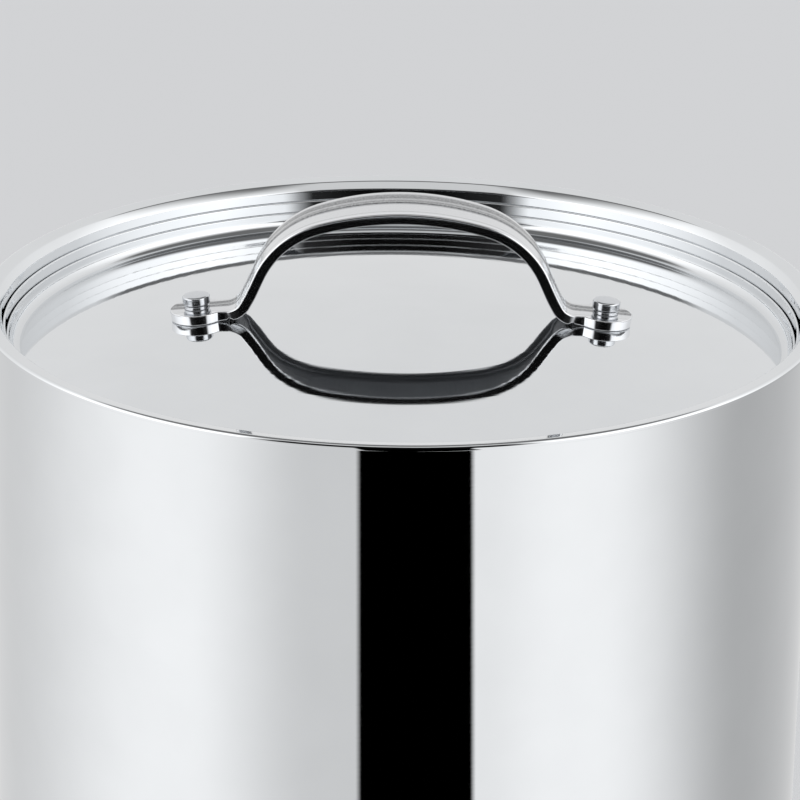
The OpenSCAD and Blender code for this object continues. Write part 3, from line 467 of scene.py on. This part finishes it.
casing_profile = (
    [(CASING_R, z) for z in reversed(hole_rows)] + [(CASING_R, ROOF_Z), (CASING_R - CASING_T, ROOF_Z)]
    + [(CASING_R - CASING_T, z) for z in hole_rows]
    + arc(CASING_R - CASING_BEND, CASING_Z + CASING_BEND, CASING_BEND - CASING_T, 0, -90)
    + [(CASING_R - FLANGE_W, CASING_Z + CASING_T), (CASING_R - FLANGE_W, CASING_Z)]
    + arc(CASING_R - CASING_BEND, CASING_Z + CASING_BEND, CASING_BEND, -90, 0))
casing = turned("casing_wall", casing_profile, 320)
pierce(casing, casing_cutters())
dress(casing, "kettle", "outer_casing", mirror_steel)

# %% Spun collar
LIP_R, WALL_R, SHELF_R, SHELF_Z = 159.0, 150.6, 143.2, 313.4
COLLAR_T, SKIRT_H, LIP_OUT, LIP_IN, LIP_SLOPE = 1.2, 2.0, 1.2, 1.0, 10.0
BEVEL_R, BEVEL_FROM, BEVEL_TO = 18.0, 137, 147  # a nearly flat band, by the way it faces
ROOF_OUT_R = CASING_R - CASING_T - 0.1
fall = math.tan(math.radians(LIP_SLOPE))


def pressed_bevel():
    """The edge that leads from the sloping lip down into the collar's inner wall."""
    edge = arc(0, 0, LIP_IN, 90 + LIP_SLOPE, BEVEL_FROM, 6)
    for band in (arc(0, 0, BEVEL_R, BEVEL_FROM, BEVEL_TO, 10), arc(0, 0, LIP_IN, BEVEL_TO, 180, 5)):
        (x0, z0), (x1, z1) = edge[-1], band[0]
        edge += [(x - x1 + x0, z - z1 + z0) for x, z in band[1:]]
    across = WALL_R - edge[-1][0]
    lip_top_z = LIP_Z - LIP_OUT + LIP_OUT / math.cos(math.radians(LIP_SLOPE))
    up = lip_top_z - (LIP_R - LIP_OUT - edge[0][0] - across) * fall - edge[0][1]
    return [(x + across, z + up) for x, z in edge]


collar_profile = (
    [(CASING_R + 0.1, ROOF_Z), (CASING_R + 0.1, LIP_Z - SKIRT_H), (LIP_R, LIP_Z - SKIRT_H)]
    + arc(LIP_R - LIP_OUT, LIP_Z - LIP_OUT, LIP_OUT, 0, 90 + LIP_SLOPE, 12)
    + pressed_bevel()
    + [(WALL_R, SHELF_Z), (SHELF_R, SHELF_Z), (SHELF_R, SHELF_Z - COLLAR_T),
       (WALL_R + COLLAR_T, SHELF_Z - COLLAR_T),
       (WALL_R + COLLAR_T, ROOF_Z - (ROOF_OUT_R - WALL_R - COLLAR_T) * fall), (ROOF_OUT_R, ROOF_Z)])
dress(turned("collar_ring", collar_profile, 320), "kettle", "top_collar", mirror_steel)

# %% [markdown]
# ## The pan, the pot and the lid
# All three are drawn from sheet, so each is a thin wall of one thickness with rounded bends. The
# pot's flange turns up into a rim inside the collar. The lid is a shallow dome with a sunken ring
# and an upturned edge, and it sits inside that rim. Its dome meets the ring in one smooth curve.

# %% Water pan
PAN_R, PAN_FLOOR_Z, PAN_FLOOR_R, PAN_BEND, SHEET = 139.9, 112.0, 15.0, 3.0, 1.0
PAN_SEAT_Z, RIM_R, RIM_IN_R = 314.4, 150.3, 149.3

pan_profile = (
    [(0, PAN_FLOOR_Z - SHEET), (0, PAN_FLOOR_Z)]
    + arc(PAN_R - PAN_FLOOR_R, PAN_FLOOR_Z + PAN_FLOOR_R, PAN_FLOOR_R, -90, 0)
    + arc(PAN_R + PAN_BEND, PAN_SEAT_Z - PAN_BEND, PAN_BEND, 180, 90)
    + [(RIM_R, PAN_SEAT_Z), (RIM_R, SHELF_Z)]
    + arc(PAN_R + PAN_BEND, PAN_SEAT_Z - PAN_BEND, PAN_BEND - SHEET, 90, 180)
    + arc(PAN_R - PAN_FLOOR_R, PAN_FLOOR_Z + PAN_FLOOR_R, PAN_FLOOR_R + SHEET, 0, -90))
dress(turned("drawn_water_pan", pan_profile, 192), "kettle", "water_pan", pot_steel)

# %% Soup pot
POT_R, POT_Z, POT_FLOOR_R, POT_BEND, SEAT_BEND = 131.4, 130.0, 20.0, 4.0, 3.0
POT_SEAT_Z, RIM_DROP = 315.7, 7.6

pot_profile = (
    [(0, POT_Z), (0, POT_Z + SHEET)]
    + arc(POT_R - POT_FLOOR_R, POT_Z + SHEET + POT_FLOOR_R, POT_FLOOR_R, -90, 0)
    + arc(POT_R + POT_BEND, POT_SEAT_Z - POT_BEND, POT_BEND, 180, 90)
    + arc(RIM_IN_R - SEAT_BEND, POT_SEAT_Z + SEAT_BEND, SEAT_BEND, -90, 0)
    + arc(RIM_R - SHEET / 2, LIP_Z - RIM_DROP - SHEET / 2, SHEET / 2, 180, 0, 8)
    + arc(RIM_IN_R - SEAT_BEND, POT_SEAT_Z + SEAT_BEND, SEAT_BEND + SHEET, 0, -90)
    + arc(POT_R + POT_BEND, POT_SEAT_Z - POT_BEND, POT_BEND - SHEET, 90, 180)
    + arc(POT_R - POT_FLOOR_R, POT_Z + SHEET + POT_FLOOR_R, POT_FLOOR_R + SHEET, 0, -90))
dress(turned("lift_out_pot", pot_profile, 320), "pot", "soup_pot", mirror_steel)
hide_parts("pot_rim")

# %% Lid
LID_T, LID_LOW_Z, COVE_X, COVE_R = 0.9, 316.9, 144.1, 4.0
DOME_R, DOME_Z, LID_EDGE_Z = 867.2, -538.3, 323.2
DOME_A = math.degrees(math.asin(COVE_X / (DOME_R + COVE_R)))
SATIN_FROM_R = 143.5

lid_profile = (
    arc(0, DOME_Z, DOME_R, 90, 90 - DOME_A, 48)
    + arc(COVE_X, LID_LOW_Z + COVE_R, COVE_R, -90 - DOME_A, 0, 24)
    + arc(COVE_X + COVE_R + LID_T / 2, LID_EDGE_Z - LID_T / 2, LID_T / 2, 180, 0, 8)
    + arc(COVE_X, LID_LOW_Z + COVE_R, COVE_R + LID_T, 0, -90 - DOME_A, 24)
    + arc(0, DOME_Z, DOME_R - LID_T, 90 - DOME_A, 90, 32))
lid_profile[0] = (0, DOME_Z + DOME_R)
lid_profile[-1] = (0, DOME_Z + DOME_R - LID_T)
sunken_lid = turned("sunken_lid", lid_profile, 320)
for face in sunken_lid.data.polygons:
    # The buff does not reach into the ring below the dome, which keeps its satin drawn surface
    face.material_index = int(math.hypot(face.center.x, face.center.y) > MM * SATIN_FROM_R)
dress(sunken_lid, "lid", "lid_pan", lid_steel, cove_steel)

# %% [markdown]
# ## The strap handle
# The handle is one strip, pressed into a channel with turned-down edges, arched, and flattened
# into a round tab at each end. It is modelled the way it is made: a cross-section is drawn flat,
# in distance along the strap, distance across it and depth below its top, and every point is
# then carried onto the arched path. The channel fades out just before the tab, and the tab's
# round end closes the mesh. The top has a low bead along its middle and rolled front and back
# edges, which is where a real strap is rubbed bright.

# %% Strap path
CROWN_R, CROWN_A, CROWN_TOP_Z = 108.47, 16.97, 372.35
SHOULDER_R, LEG_A, FOOT_BEND_R, TAB_A = 38.59, 66.53, 6.0, 5.094
RIVET_X, TAB_R, STRAP_DEPTH, STRAP_T = 77.0, 10.7, 4.0, 1.6
CROWN_W, NECK_W, NECK_X, NARROWING = 14.5, 7.3, 67.5, 3.1  # half widths, and how they meet


def slope_normal(angle):
    return Vector((math.sin(math.radians(angle)), math.cos(math.radians(angle))))


crown_centre = Vector((0, CROWN_TOP_Z - CROWN_R))
shoulder_centre = crown_centre + (CROWN_R - SHOULDER_R) * slope_normal(CROWN_A)
leg_top = shoulder_centre + SHOULDER_R * slope_normal(LEG_A)
leg_way = Vector((math.cos(math.radians(LEG_A)), -math.sin(math.radians(LEG_A))))
# The leg is as long as it takes for the tab to lie on the dome
tab_up = slope_normal(TAB_A)
drop = (tab_up.dot(leg_top + FOOT_BEND_R * (slope_normal(LEG_A) - tab_up) - Vector((0, DOME_Z)))
        - DOME_R - STRAP_DEPTH)
LEG_L = drop / -tab_up.dot(leg_way)
leg_foot = leg_top + LEG_L * leg_way
foot_centre = leg_foot + FOOT_BEND_R * slope_normal(LEG_A)
tab_start = foot_centre - FOOT_BEND_R * slope_normal(TAB_A)
run_crown = CROWN_R * math.radians(CROWN_A)
run_shoulder = run_crown + SHOULDER_R * math.radians(LEG_A - CROWN_A)
run_leg = run_shoulder + LEG_L
run_foot = run_leg + FOOT_BEND_R * math.radians(LEG_A - TAB_A)
run_rivet = run_foot + (RIVET_X - tab_start.x) / math.cos(math.radians(TAB_A))


def on_strap(run, depth):
    """The side-view point at a distance along the strap and a depth below its top."""
    if run <= run_crown:
        n = slope_normal(math.degrees(run / CROWN_R))
        return crown_centre + (CROWN_R - depth) * n
    if run <= run_shoulder:
        n = slope_normal(CROWN_A + math.degrees((run - run_crown) / SHOULDER_R))
        return shoulder_centre + (SHOULDER_R - depth) * n
    if run <= run_leg:
        t = (run - run_shoulder) / LEG_L
        return leg_top + t * (leg_foot - leg_top) - depth * slope_normal(LEG_A)
    if run <= run_foot:
        n = slope_normal(LEG_A - math.degrees((run - run_leg) / FOOT_BEND_R))
        return foot_centre - (FOOT_BEND_R + depth) * n
    along = Vector((math.cos(math.radians(TAB_A)), -math.sin(math.radians(TAB_A))))
    return tab_start + (run - run_foot) * along - depth * slope_normal(TAB_A)


print("strap: rivet lies", round(run_rivet, 2), "mm along, leg", round(LEG_L, 2), "mm long")


# %% Strap mesh
def ease(value, low, high):
    t = min(1, max(0, (value - low) / (high - low)))
    return t * t * (3 - 2 * t)


BEAD_H, BULGE_H, ROLL_R, TAB_ROLL_R, FLANGE_LEAN, EXTRA_DEPTH = 0.28, 0.25, 0.65, 0.4, 5.0, 0.7
BEAD_SHAPE = ((0, 0), (0.03, 0.06), (0.06, 0.5), (0.09, 0.94), (0.12, 1.0))
RUBBED_POINTS = range(11, 25)  # the rolled edge and the flange below it
INSIDE_FROM = 24  # the first point of a half section that faces inwards


def strap_section(run):
    """Half the cross-section from the middle of the top round to the middle underneath: for each
    point its inset from the strap's edge, or None and a share of the flat, and its depth."""
    flat_end = ease(run, run_leg - 6, run_foot)
    bead, crown = BEAD_H * (1 - flat_end), BULGE_H * (1 - flat_end)
    roll, lean = ROLL_R + (TAB_ROLL_R - ROLL_R) * flat_end, math.tan(math.radians(FLANGE_LEAN))
    closing = ease(run, run_leg - 3, run_foot - 0.5)
    notch = 1.3 * math.exp(-((run - run_foot + 0.6) / 0.7) ** 2)
    points = [(None, f, d * bead) for f, d in BEAD_SHAPE]
    points += [(None, f, bead + crown * f * f) for f in (0.3, 0.5, 0.7, 0.85, 0.95, 1.0)]
    top = bead + crown
    for k in range(1, 8):
        a = math.radians(90 * k / 7)
        points.append((roll * (1 - math.sin(a)), None, top + roll * (1 - math.cos(a))))
    low = STRAP_DEPTH + EXTRA_DEPTH * (1 - flat_end) - notch
    points += [(lean * (d - top - roll), None, d) for d in (top + roll + 0.2, low - 0.55)]
    foot = lean * (low - 0.55 - top - roll)
    points += [(foot + 0.04, None, low - 0.3), (foot + 0.14, None, low - 0.12),
               (foot + 0.32, None, low - 0.02), (foot + 0.5, None, low), (STRAP_T - 0.35, None, low)]
    inner = [(STRAP_T - 0.12, low - 0.1), (STRAP_T, low - 0.35), (STRAP_T, STRAP_T + 1.0),
             (STRAP_T + 0.1, STRAP_T + 0.55), (STRAP_T + 0.4, STRAP_T + 0.18), (STRAP_T + 0.9, STRAP_T)]
    points += [(o, None, d + (low - d) * closing) for o, d in inner]
    under = STRAP_T + (low - STRAP_T) * closing
    points += [("under", f, under) for f in (0.75, 0.5, 0.25, 0)]
    return points, roll


def strap_ring(run, turn=None):
    """Full ring of (run, across, depth) points; on the tab it is fanned about the rivet."""
    points, roll = strap_section(run)
    share = min(1.0, on_strap(run, 0).x / NECK_X)
    half = CROWN_W - (CROWN_W - NECK_W) * share ** NARROWING
    ring = []
    for inset, f, depth in points:
        if inset == "under":
            reach, part = STRAP_T + 0.9, f
        elif inset is None:
            reach, part = roll, f
        else:
            reach, part = inset, 1.0
        if turn is None:
            ring.append((run, part * (half - reach), depth))
        else:
            a = math.radians(turn)
            ring.append((run_rivet + (TAB_R - reach) * math.cos(a),
                         part * (TAB_R - reach) * math.sin(a), depth))
    mirrored = [(r, -y, d) for r, y, d in ring[-2:0:-1]]
    return ring + mirrored, half


def strap_mesh():
    neck = 180 - math.degrees(math.asin(NECK_W / TAB_R))
    stations = [(run_shoulder * (k / 60), None) for k in range(60)]
    stations += [(run_shoulder + LEG_L * k / 22, None) for k in range(22)]
    stations += [(run_leg + (run_foot - run_leg) * k / 12, None) for k in range(13)]
    stations += [(run_rivet + TAB_R * math.cos(math.radians(a)), a)
                 for a in (neck * (1 - k / 40) for k in range(41))]
    half_strap = [strap_ring(run, a) for run, a in stations]
    mesh, made = bpy.data.meshes.new("strap_handle"), bmesh.new()
    across = made.verts.layers.float.new("across")
    rubbed = made.verts.layers.float.new("rubbed")
    rows = []
    for side, rings in ((-1, half_strap[:0:-1]), (1, half_strap)):
        for ring, half in rings:
            row = []
            for k, (run, y, depth) in enumerate(ring):
                p = on_strap(run, depth)
                vert = made.verts.new((side * MM * p.x, MM * y, MM * p.y))
                vert[across] = y / half
                vert[rubbed] = float(min(k, len(ring) - k) in RUBBED_POINTS)
                row.append(vert)
            rows.append(row)
    count = len(rows[0])
    for a, b in zip(rows, rows[1:]):
        for k in range(count):
            m = (k + 1) % count
            face = made.faces.new((a[k], a[m], b[m], b[k]))
            face.material_index = int(min(k, count - 1 - k) >= INSIDE_FROM)
    bmesh.ops.remove_doubles(made, verts=made.verts, dist=1e-7)
    bmesh.ops.dissolve_degenerate(made, dist=1e-7, edges=made.edges)
    bmesh.ops.recalc_face_normals(made, faces=made.faces)
    open_edges = sum(1 for e in made.edges if len(e.link_faces) != 2)
    made.to_mesh(mesh)
    made.free()
    print("strap mesh:", len(mesh.polygons), "faces,", open_edges, "open edges")
    return mesh


# How much of the dark grey is painted across the strap's top as a painted reflection, from its front
# edge (-1)
# to its back edge (1): a thin grey line near the front, and a dark band at the back with a lighter line
# in it
PAINTED_REFLECTION_ACROSS = [(-1, 0), (-0.8, 0), (-0.75, 0.4), (-0.7, 0.1), (-0.2, 0.1), (-0.05, 0.9), (0.2, 0.9),
           (0.25, 0.6), (0.35, 0.6), (0.4, 1), (0.7, 0.9), (0.8, 0.2), (1, 0.1)]


def strap_finish(name, light, dark, roughness, pits):
    """Stamped strip that was tumbled: a fine speckle over its flats, and a painted reflection across its
    top, darker towards the back, which leaves out the rubbed edges, so they keep the light grey.
    Roughness and the depth of the pits are given for the flats and for the rubbed edges."""
    made, tree, where = blank_material(name)
    across, rubbed = (add_node(tree, "ShaderNodeAttribute", attribute_name=kind).outputs["Fac"]
                      for kind in ("across", "rubbed"))
    speckle = noise(tree, where, 1500.0, 2.0, 0.7)
    # Painted reflection: the share of the dark grey by the place across the strap, none on the rubbed
    # edges
    painted_reflection = maths(tree, "MULTIPLY", grey_ramp(tree, across, PAINTED_REFLECTION_ACROSS, -1, 1, 1.0),
                 maths(tree, "SUBTRACT", 1.0, rubbed))
    deep = maths(tree, "MULTIPLY_ADD", spread(tree, speckle, 0.4, 0.62), 0.35, 0.65)
    skinned(tree, Base_Color=two_greys(tree, maths(tree, "MULTIPLY", deep, painted_reflection), light, dark),
            Metallic=1.0, Roughness=spread(tree, rubbed, 0, 1, *roughness),
            Normal=relief(tree, speckle, spread(tree, rubbed, 0, 1, *pits), 0.0002))
    return made


# Stamped and tumbled strip for the outside of the handle; its dark grey only serves the painted
# reflection across the top.
strap_outside = strap_finish("tumbled_strap_steel_painted_reflection", "#E6E7E9", "#3E4144", (0.12, 0.06), (0.12, 0.02))
# The same strip inside the channel and underneath: rougher, and a dark grey that is painted shade under
# the arch.
strap_inside = steel("strap_steel_painted_shade", "#727477", "#646669", (0.42, 0.55), ring_depth=0.0,
                     grain=0.2, grain_size=0.0008)
handle = finished("strap_handle", strap_mesh(), sharp=60)
dress(handle, "lid", "lid_handle", strap_outside, strap_inside)

# %% [markdown]
# ## Copies on a ring
# The rivets and their collars repeat round a circle, so one Geometry Nodes tree places them all. It
# makes a row of points, bends the row round the ring, stands the piece on each point and turns it
# outwards, then joins the copies into one plain mesh. Its inputs are named after what they set.

# %% Ring of copies
def ring_tree():
    tree = bpy.data.node_groups.new("copies_on_a_ring", "GeometryNodeTree")
    face = tree.interface
    for name, kind in (("Piece", "NodeSocketObject"), ("Count", "NodeSocketInt"),
                       ("First angle", "NodeSocketFloat"), ("Step angle", "NodeSocketFloat"),
                       ("Ring radius", "NodeSocketFloat"), ("Height", "NodeSocketFloat"),
                       ("Tilt", "NodeSocketFloat"), ("Finish", "NodeSocketMaterial")):
        face.new_socket(name, in_out="INPUT", socket_type=kind)
    face.new_socket("Geometry", in_out="OUTPUT", socket_type="NodeSocketGeometry")
    given = add_node(tree, "NodeGroupInput").outputs
    row = add_node(tree, "GeometryNodePoints", {"Count": given["Count"]})
    number = add_node(tree, "GeometryNodeInputIndex").outputs["Index"]
    angle = maths(tree, "ADD", maths(tree, "MULTIPLY", number, given["Step angle"]),
                  given["First angle"])
    x, y = (maths(tree, "MULTIPLY", maths(tree, way, angle), given["Ring radius"])
            for way in ("COSINE", "SINE"))
    place = add_node(tree, "ShaderNodeCombineXYZ", {"X": x, "Y": y, "Z": given["Height"]})
    bent = add_node(tree, "GeometryNodeSetPosition", {"Geometry": row.outputs[0],
                                                      "Position": place.outputs[0]})
    facing = add_node(tree, "ShaderNodeCombineXYZ", {"Y": given["Tilt"], "Z": angle})
    piece = add_node(tree, "GeometryNodeObjectInfo", {"Object": given["Piece"]})
    stood = add_node(tree, "GeometryNodeInstanceOnPoints", {"Points": bent.outputs[0],
                                                            "Instance": piece.outputs["Geometry"],
                                                            "Rotation": facing.outputs[0]})
    plain = add_node(tree, "GeometryNodeRealizeInstances", {"Geometry": stood.outputs[0]})
    done = add_node(tree, "GeometryNodeSetMaterial", {"Geometry": plain.outputs[0],
                                                      "Material": given["Finish"]})
    add_node(tree, "NodeGroupOutput", {"Geometry": done.outputs[0]})
    return tree


copies_on_a_ring = ring_tree()


def ringed(name, piece, finish, radius, height, tilt, count=2, first=0.0, step=180.0):
    """Copies a piece round a ring, in mm and degrees, into one mesh, and drops the original."""
    values = {"Piece": piece, "Count": count, "First angle": math.radians(first),
              "Step angle": math.radians(step), "Ring radius": MM * radius, "Height": MM * height,
              "Tilt": math.radians(tilt), "Finish": finish}
    made = bpy.data.objects.new(name, bpy.data.meshes.new(name))
    bpy.context.scene.collection.objects.link(made)
    nodes = made.modifiers.new("copies", "NODES")
    nodes.node_group = copies_on_a_ring
    for item in copies_on_a_ring.interface.items_tree:
        if item.in_out == "INPUT":
            nodes[item.identifier] = values[item.name]
    settled(made)
    bpy.data.objects.remove(piece)
    return made


print("ring tree:", len(copies_on_a_ring.nodes), "nodes")

# %% [markdown]
# ## Rivets
# Each tab is held by a solid rivet with a plain drum head on a narrower collar. The head was set
# from above, so its top edge is rolled over and its face is slightly domed. A deep line between
# head and collar is the mark that says rivet rather than screw. Under the lid each shank is
# closed over a washer.

# %% Rivets and collars
RIVET_R, HEAD_R, HEAD_H, COLLAR_R, COLLAR_H, BURR_H = 2.5, 5.25, 3.9, 4.85, 1.4, 2.5
SEAT = 0.05
COLLAR_Z = STRAP_DEPTH + SEAT
HEAD_Z = COLLAR_Z + COLLAR_H
rivet_ring = dict(radius=DOME_R * math.sin(math.radians(TAB_A)),
                  height=DOME_Z + DOME_R * math.cos(math.radians(TAB_A)), tilt=TAB_A)

rivet_profile = (
    [(0, -LID_T - BURR_H), (RIVET_R, -LID_T - BURR_H), (RIVET_R, HEAD_Z), (HEAD_R - 0.75, HEAD_Z),
     (HEAD_R - 0.45, HEAD_Z + 0.28), (HEAD_R - 0.12, HEAD_Z + 0.42)]
    + arc(HEAD_R - 0.35, HEAD_Z + 0.85, 0.35, -50, 0, 6)
    + arc(HEAD_R - 0.95, HEAD_Z + HEAD_H - 1.15, 0.95, 0, 80, 10)
    + [(HEAD_R - 2.2, HEAD_Z + HEAD_H - 0.05), (1.5, HEAD_Z + HEAD_H), (0, HEAD_Z + HEAD_H)])
rivets = ringed("rivet_heads", turned("rivet", rivet_profile, 96, radius=0.08), rivet_steel,
                **rivet_ring)
dress(rivets, "lid", "lid_rivets", rivet_steel)

rivet_collar_profile = (
    [(RIVET_R + 0.05, COLLAR_Z), (COLLAR_R - 0.2, COLLAR_Z)]
    + arc(COLLAR_R - 0.3, COLLAR_Z + 0.3, 0.3, -60, 0, 5)
    + arc(COLLAR_R - 0.35, HEAD_Z - 0.4, 0.35, 0, 80, 6) + [(RIVET_R + 0.05, HEAD_Z - 0.05)])
collars = ringed("rivet_collar_rings", turned("collar", rivet_collar_profile, 96, radius=0.05),
                 rivet_steel, **rivet_ring)
dress(collars, "lid", "rivet_collars", rivet_steel)

# %% [markdown]
# ## Light and setting
# A mirror has no look of its own: it shows what stands round it. The kettle is set up as it would
# be in a product studio, in a white tent with a dark gap where the camera looks in, a light card
# over the camera and a darker gap overhead. Only reflected rays see that tent, which is drawn by
# direction in the world's nodes. Everything else is lit by an even pale sky and one wide, soft
# lamp, so a plain colour renders about as it is written. The floor and the air behind are one
# flat pale grey.

# %% Studio seen by reflections
STEEL_SHARE = 0.765  # how much of the light the polished steel gives back


def shown(value):
    """Light needed for a reflection in the steel to show as this grey level out of 255."""
    return linear("#%02X%02X%02X" % ((round(value),) * 3))[0] / STEEL_SHARE


def between(tree, value, low, high):
    return spread(tree, value, low, high, interpolation_type="SMOOTHSTEP")


def mixed(tree, share, a, b):
    return add_node(tree, "ShaderNodeMix", {0: share, 2: a, 3: b}, data_type="FLOAT").outputs[0]


# Light by bearing in degrees, with 0 at the camera: below the horizon, above it and on the card.
# Below the horizon a soft lamp lights the cloth on each side of a dark gap.
DIM_CLOTH, LIT_CLOTH, GAP_SIDE, FAR_CLOTH = shown(200), shown(240), shown(228), shown(170)
GAP_LEFT, GAP_RIGHT, GAP_EDGE = -10.1, 20.2, 0.4
low_tent = [(-180, DIM_CLOTH), (-140, DIM_CLOTH), (-66, LIT_CLOTH), (-60, LIT_CLOTH),
            (-22, DIM_CLOTH), (GAP_LEFT - GAP_EDGE / 2, DIM_CLOTH), (GAP_LEFT + GAP_EDGE / 2, 0),
            (GAP_RIGHT - GAP_EDGE / 2, 0), (GAP_RIGHT + GAP_EDGE / 2, GAP_SIDE),
            (45, LIT_CLOTH), (55, LIT_CLOTH), (110, FAR_CLOTH), (180, DIM_CLOTH)]
middle_tent = [(-180, shown(210)), (-155, shown(215)), (-120, shown(230)), (-90, 1.5), (-60, 1.75),
               (-42, 1.5), (-37, 0.55), (-33, 0.03), (-12, 0.004), (14, 0.004), (30, 0.03),
               (34, 0.5), (39, 1.4), (60, 1.75), (90, 1.5), (120, shown(230)), (155, shown(215)),
               (180, shown(210))]
OVERHEAD_LIGHT = 0.19
card = [(-180, OVERHEAD_LIGHT), (-62, OVERHEAD_LIGHT), (-42, shown(200)), (42, shown(200)),
        (62, OVERHEAD_LIGHT), (180, OVERHEAD_LIGHT)]
# How far each bearing belongs to the tent's sides, whose light fades slowly upwards
sides = [(-180, 0), (-125, 0), (-95, 1), (-45, 1), (-38, 0), (38, 0), (45, 1), (95, 1), (125, 0),
         (180, 0)]
FLAT_GREY = "#D0D1D3"
EVEN_LIGHT, LAMP_LIGHT = 0.62, 0.40

world = bpy.data.worlds.new("studio")
bpy.context.scene.world = world
world.use_nodes = True
sky = world.node_tree
sky.nodes.clear()
direction = add_node(sky, "ShaderNodeSeparateXYZ",
                     {"Vector": add_node(sky, "ShaderNodeTexCoord").outputs["Generated"]}).outputs
front = maths(sky, "MULTIPLY", direction["Y"], -1)
bearing = maths(sky, "DEGREES", maths(sky, "ARCTAN2", direction["X"], front))
height = maths(sky, "DEGREES", maths(sky, "ARCSINE", direction["Z"]))
# The dark gap's sides lean, so that they stand upright where the casing shows them
lean = maths(sky, "MULTIPLY_ADD", bearing, 0.0066, 0.235)
leaned = maths(sky, "MULTIPLY_ADD", lean, spread(sky, height, -27.3, -19.3, -4.0, 4.0), bearing)
low_light = grey_ramp(sky, leaned, low_tent, -180, 180, blend="EASE")
middle_light, card_light, side = (grey_ramp(sky, bearing, stops, -180, 180)
                                  for stops in (middle_tent, card, sides))
tent = mixed(sky, between(sky, height, -11, -3), low_light, middle_light)
overhead = mixed(sky, between(sky, height, 70, 78), card_light, OVERHEAD_LIGHT)
fade_from = maths(sky, "MULTIPLY_ADD", side, -14.0, 43.0)
fade_to = maths(sky, "MULTIPLY_ADD", side, 12.0, 50.0)
tent = mixed(sky, between(sky, height, fade_from, fade_to), tent, overhead)
seen = add_node(sky, "ShaderNodeLightPath").outputs
flat_grey = add_node(sky, "ShaderNodeBackground", {"Color": linear(FLAT_GREY)})
even = add_node(sky, "ShaderNodeBackground", {"Color": (1, 1, 1, 1), "Strength": EVEN_LIGHT})
studio = add_node(sky, "ShaderNodeBackground", {"Color": tent})
unseen = add_node(sky, "ShaderNodeMixShader", {0: seen["Is Glossy Ray"], 1: even.outputs[0],
                                               2: studio.outputs[0]})
clear = add_node(sky, "ShaderNodeMixShader", {0: seen["Is Transmission Ray"], 1: unseen.outputs[0],
                                              2: flat_grey.outputs[0]})
behind = add_node(sky, "ShaderNodeMixShader", {0: seen["Is Camera Ray"], 1: clear.outputs[0],
                                               2: flat_grey.outputs[0]})
add_node(sky, "ShaderNodeOutputWorld", {"Surface": behind.outputs[0]})
print("tent drawn with", len(sky.nodes), "nodes")

# %% Lamp and floor
lamp_data = bpy.data.lights.new("soft_lamp", "SUN")
lamp_data.angle = math.radians(35)
lamp_tilt = math.radians(28)
lamp_data.energy = LAMP_LIGHT * math.pi / math.cos(lamp_tilt)
lamp = bpy.data.objects.new("soft_lamp", lamp_data)
lamp.matrix_world = (Matrix.Rotation(math.radians(35), 4, "Z") @ Matrix.Rotation(lamp_tilt, 4, "X"))
lamp.visible_glossy = False
bpy.context.scene.collection.objects.link(lamp)

floor_mesh, disc = bpy.data.meshes.new("floor"), bmesh.new()
bmesh.ops.create_circle(disc, cap_ends=True, segments=128, radius=6.0)
disc.to_mesh(floor_mesh)
disc.free()
floor = bpy.data.objects.new("floor", floor_mesh)
floor.location.z = -0.0002
floor.visible_glossy = False
bpy.context.scene.collection.objects.link(floor)
paper, paper_tree, _ = blank_material("studio_paper")
sheet = add_node(paper_tree, "ShaderNodeBsdfDiffuse", {"Color": linear(FLAT_GREY)})
add_node(paper_tree, "ShaderNodeOutputMaterial", {"Surface": sheet.outputs[0]})
floor_mesh.materials.append(paper)
print("lamp adds", LAMP_LIGHT, "to an even", EVEN_LIGHT)
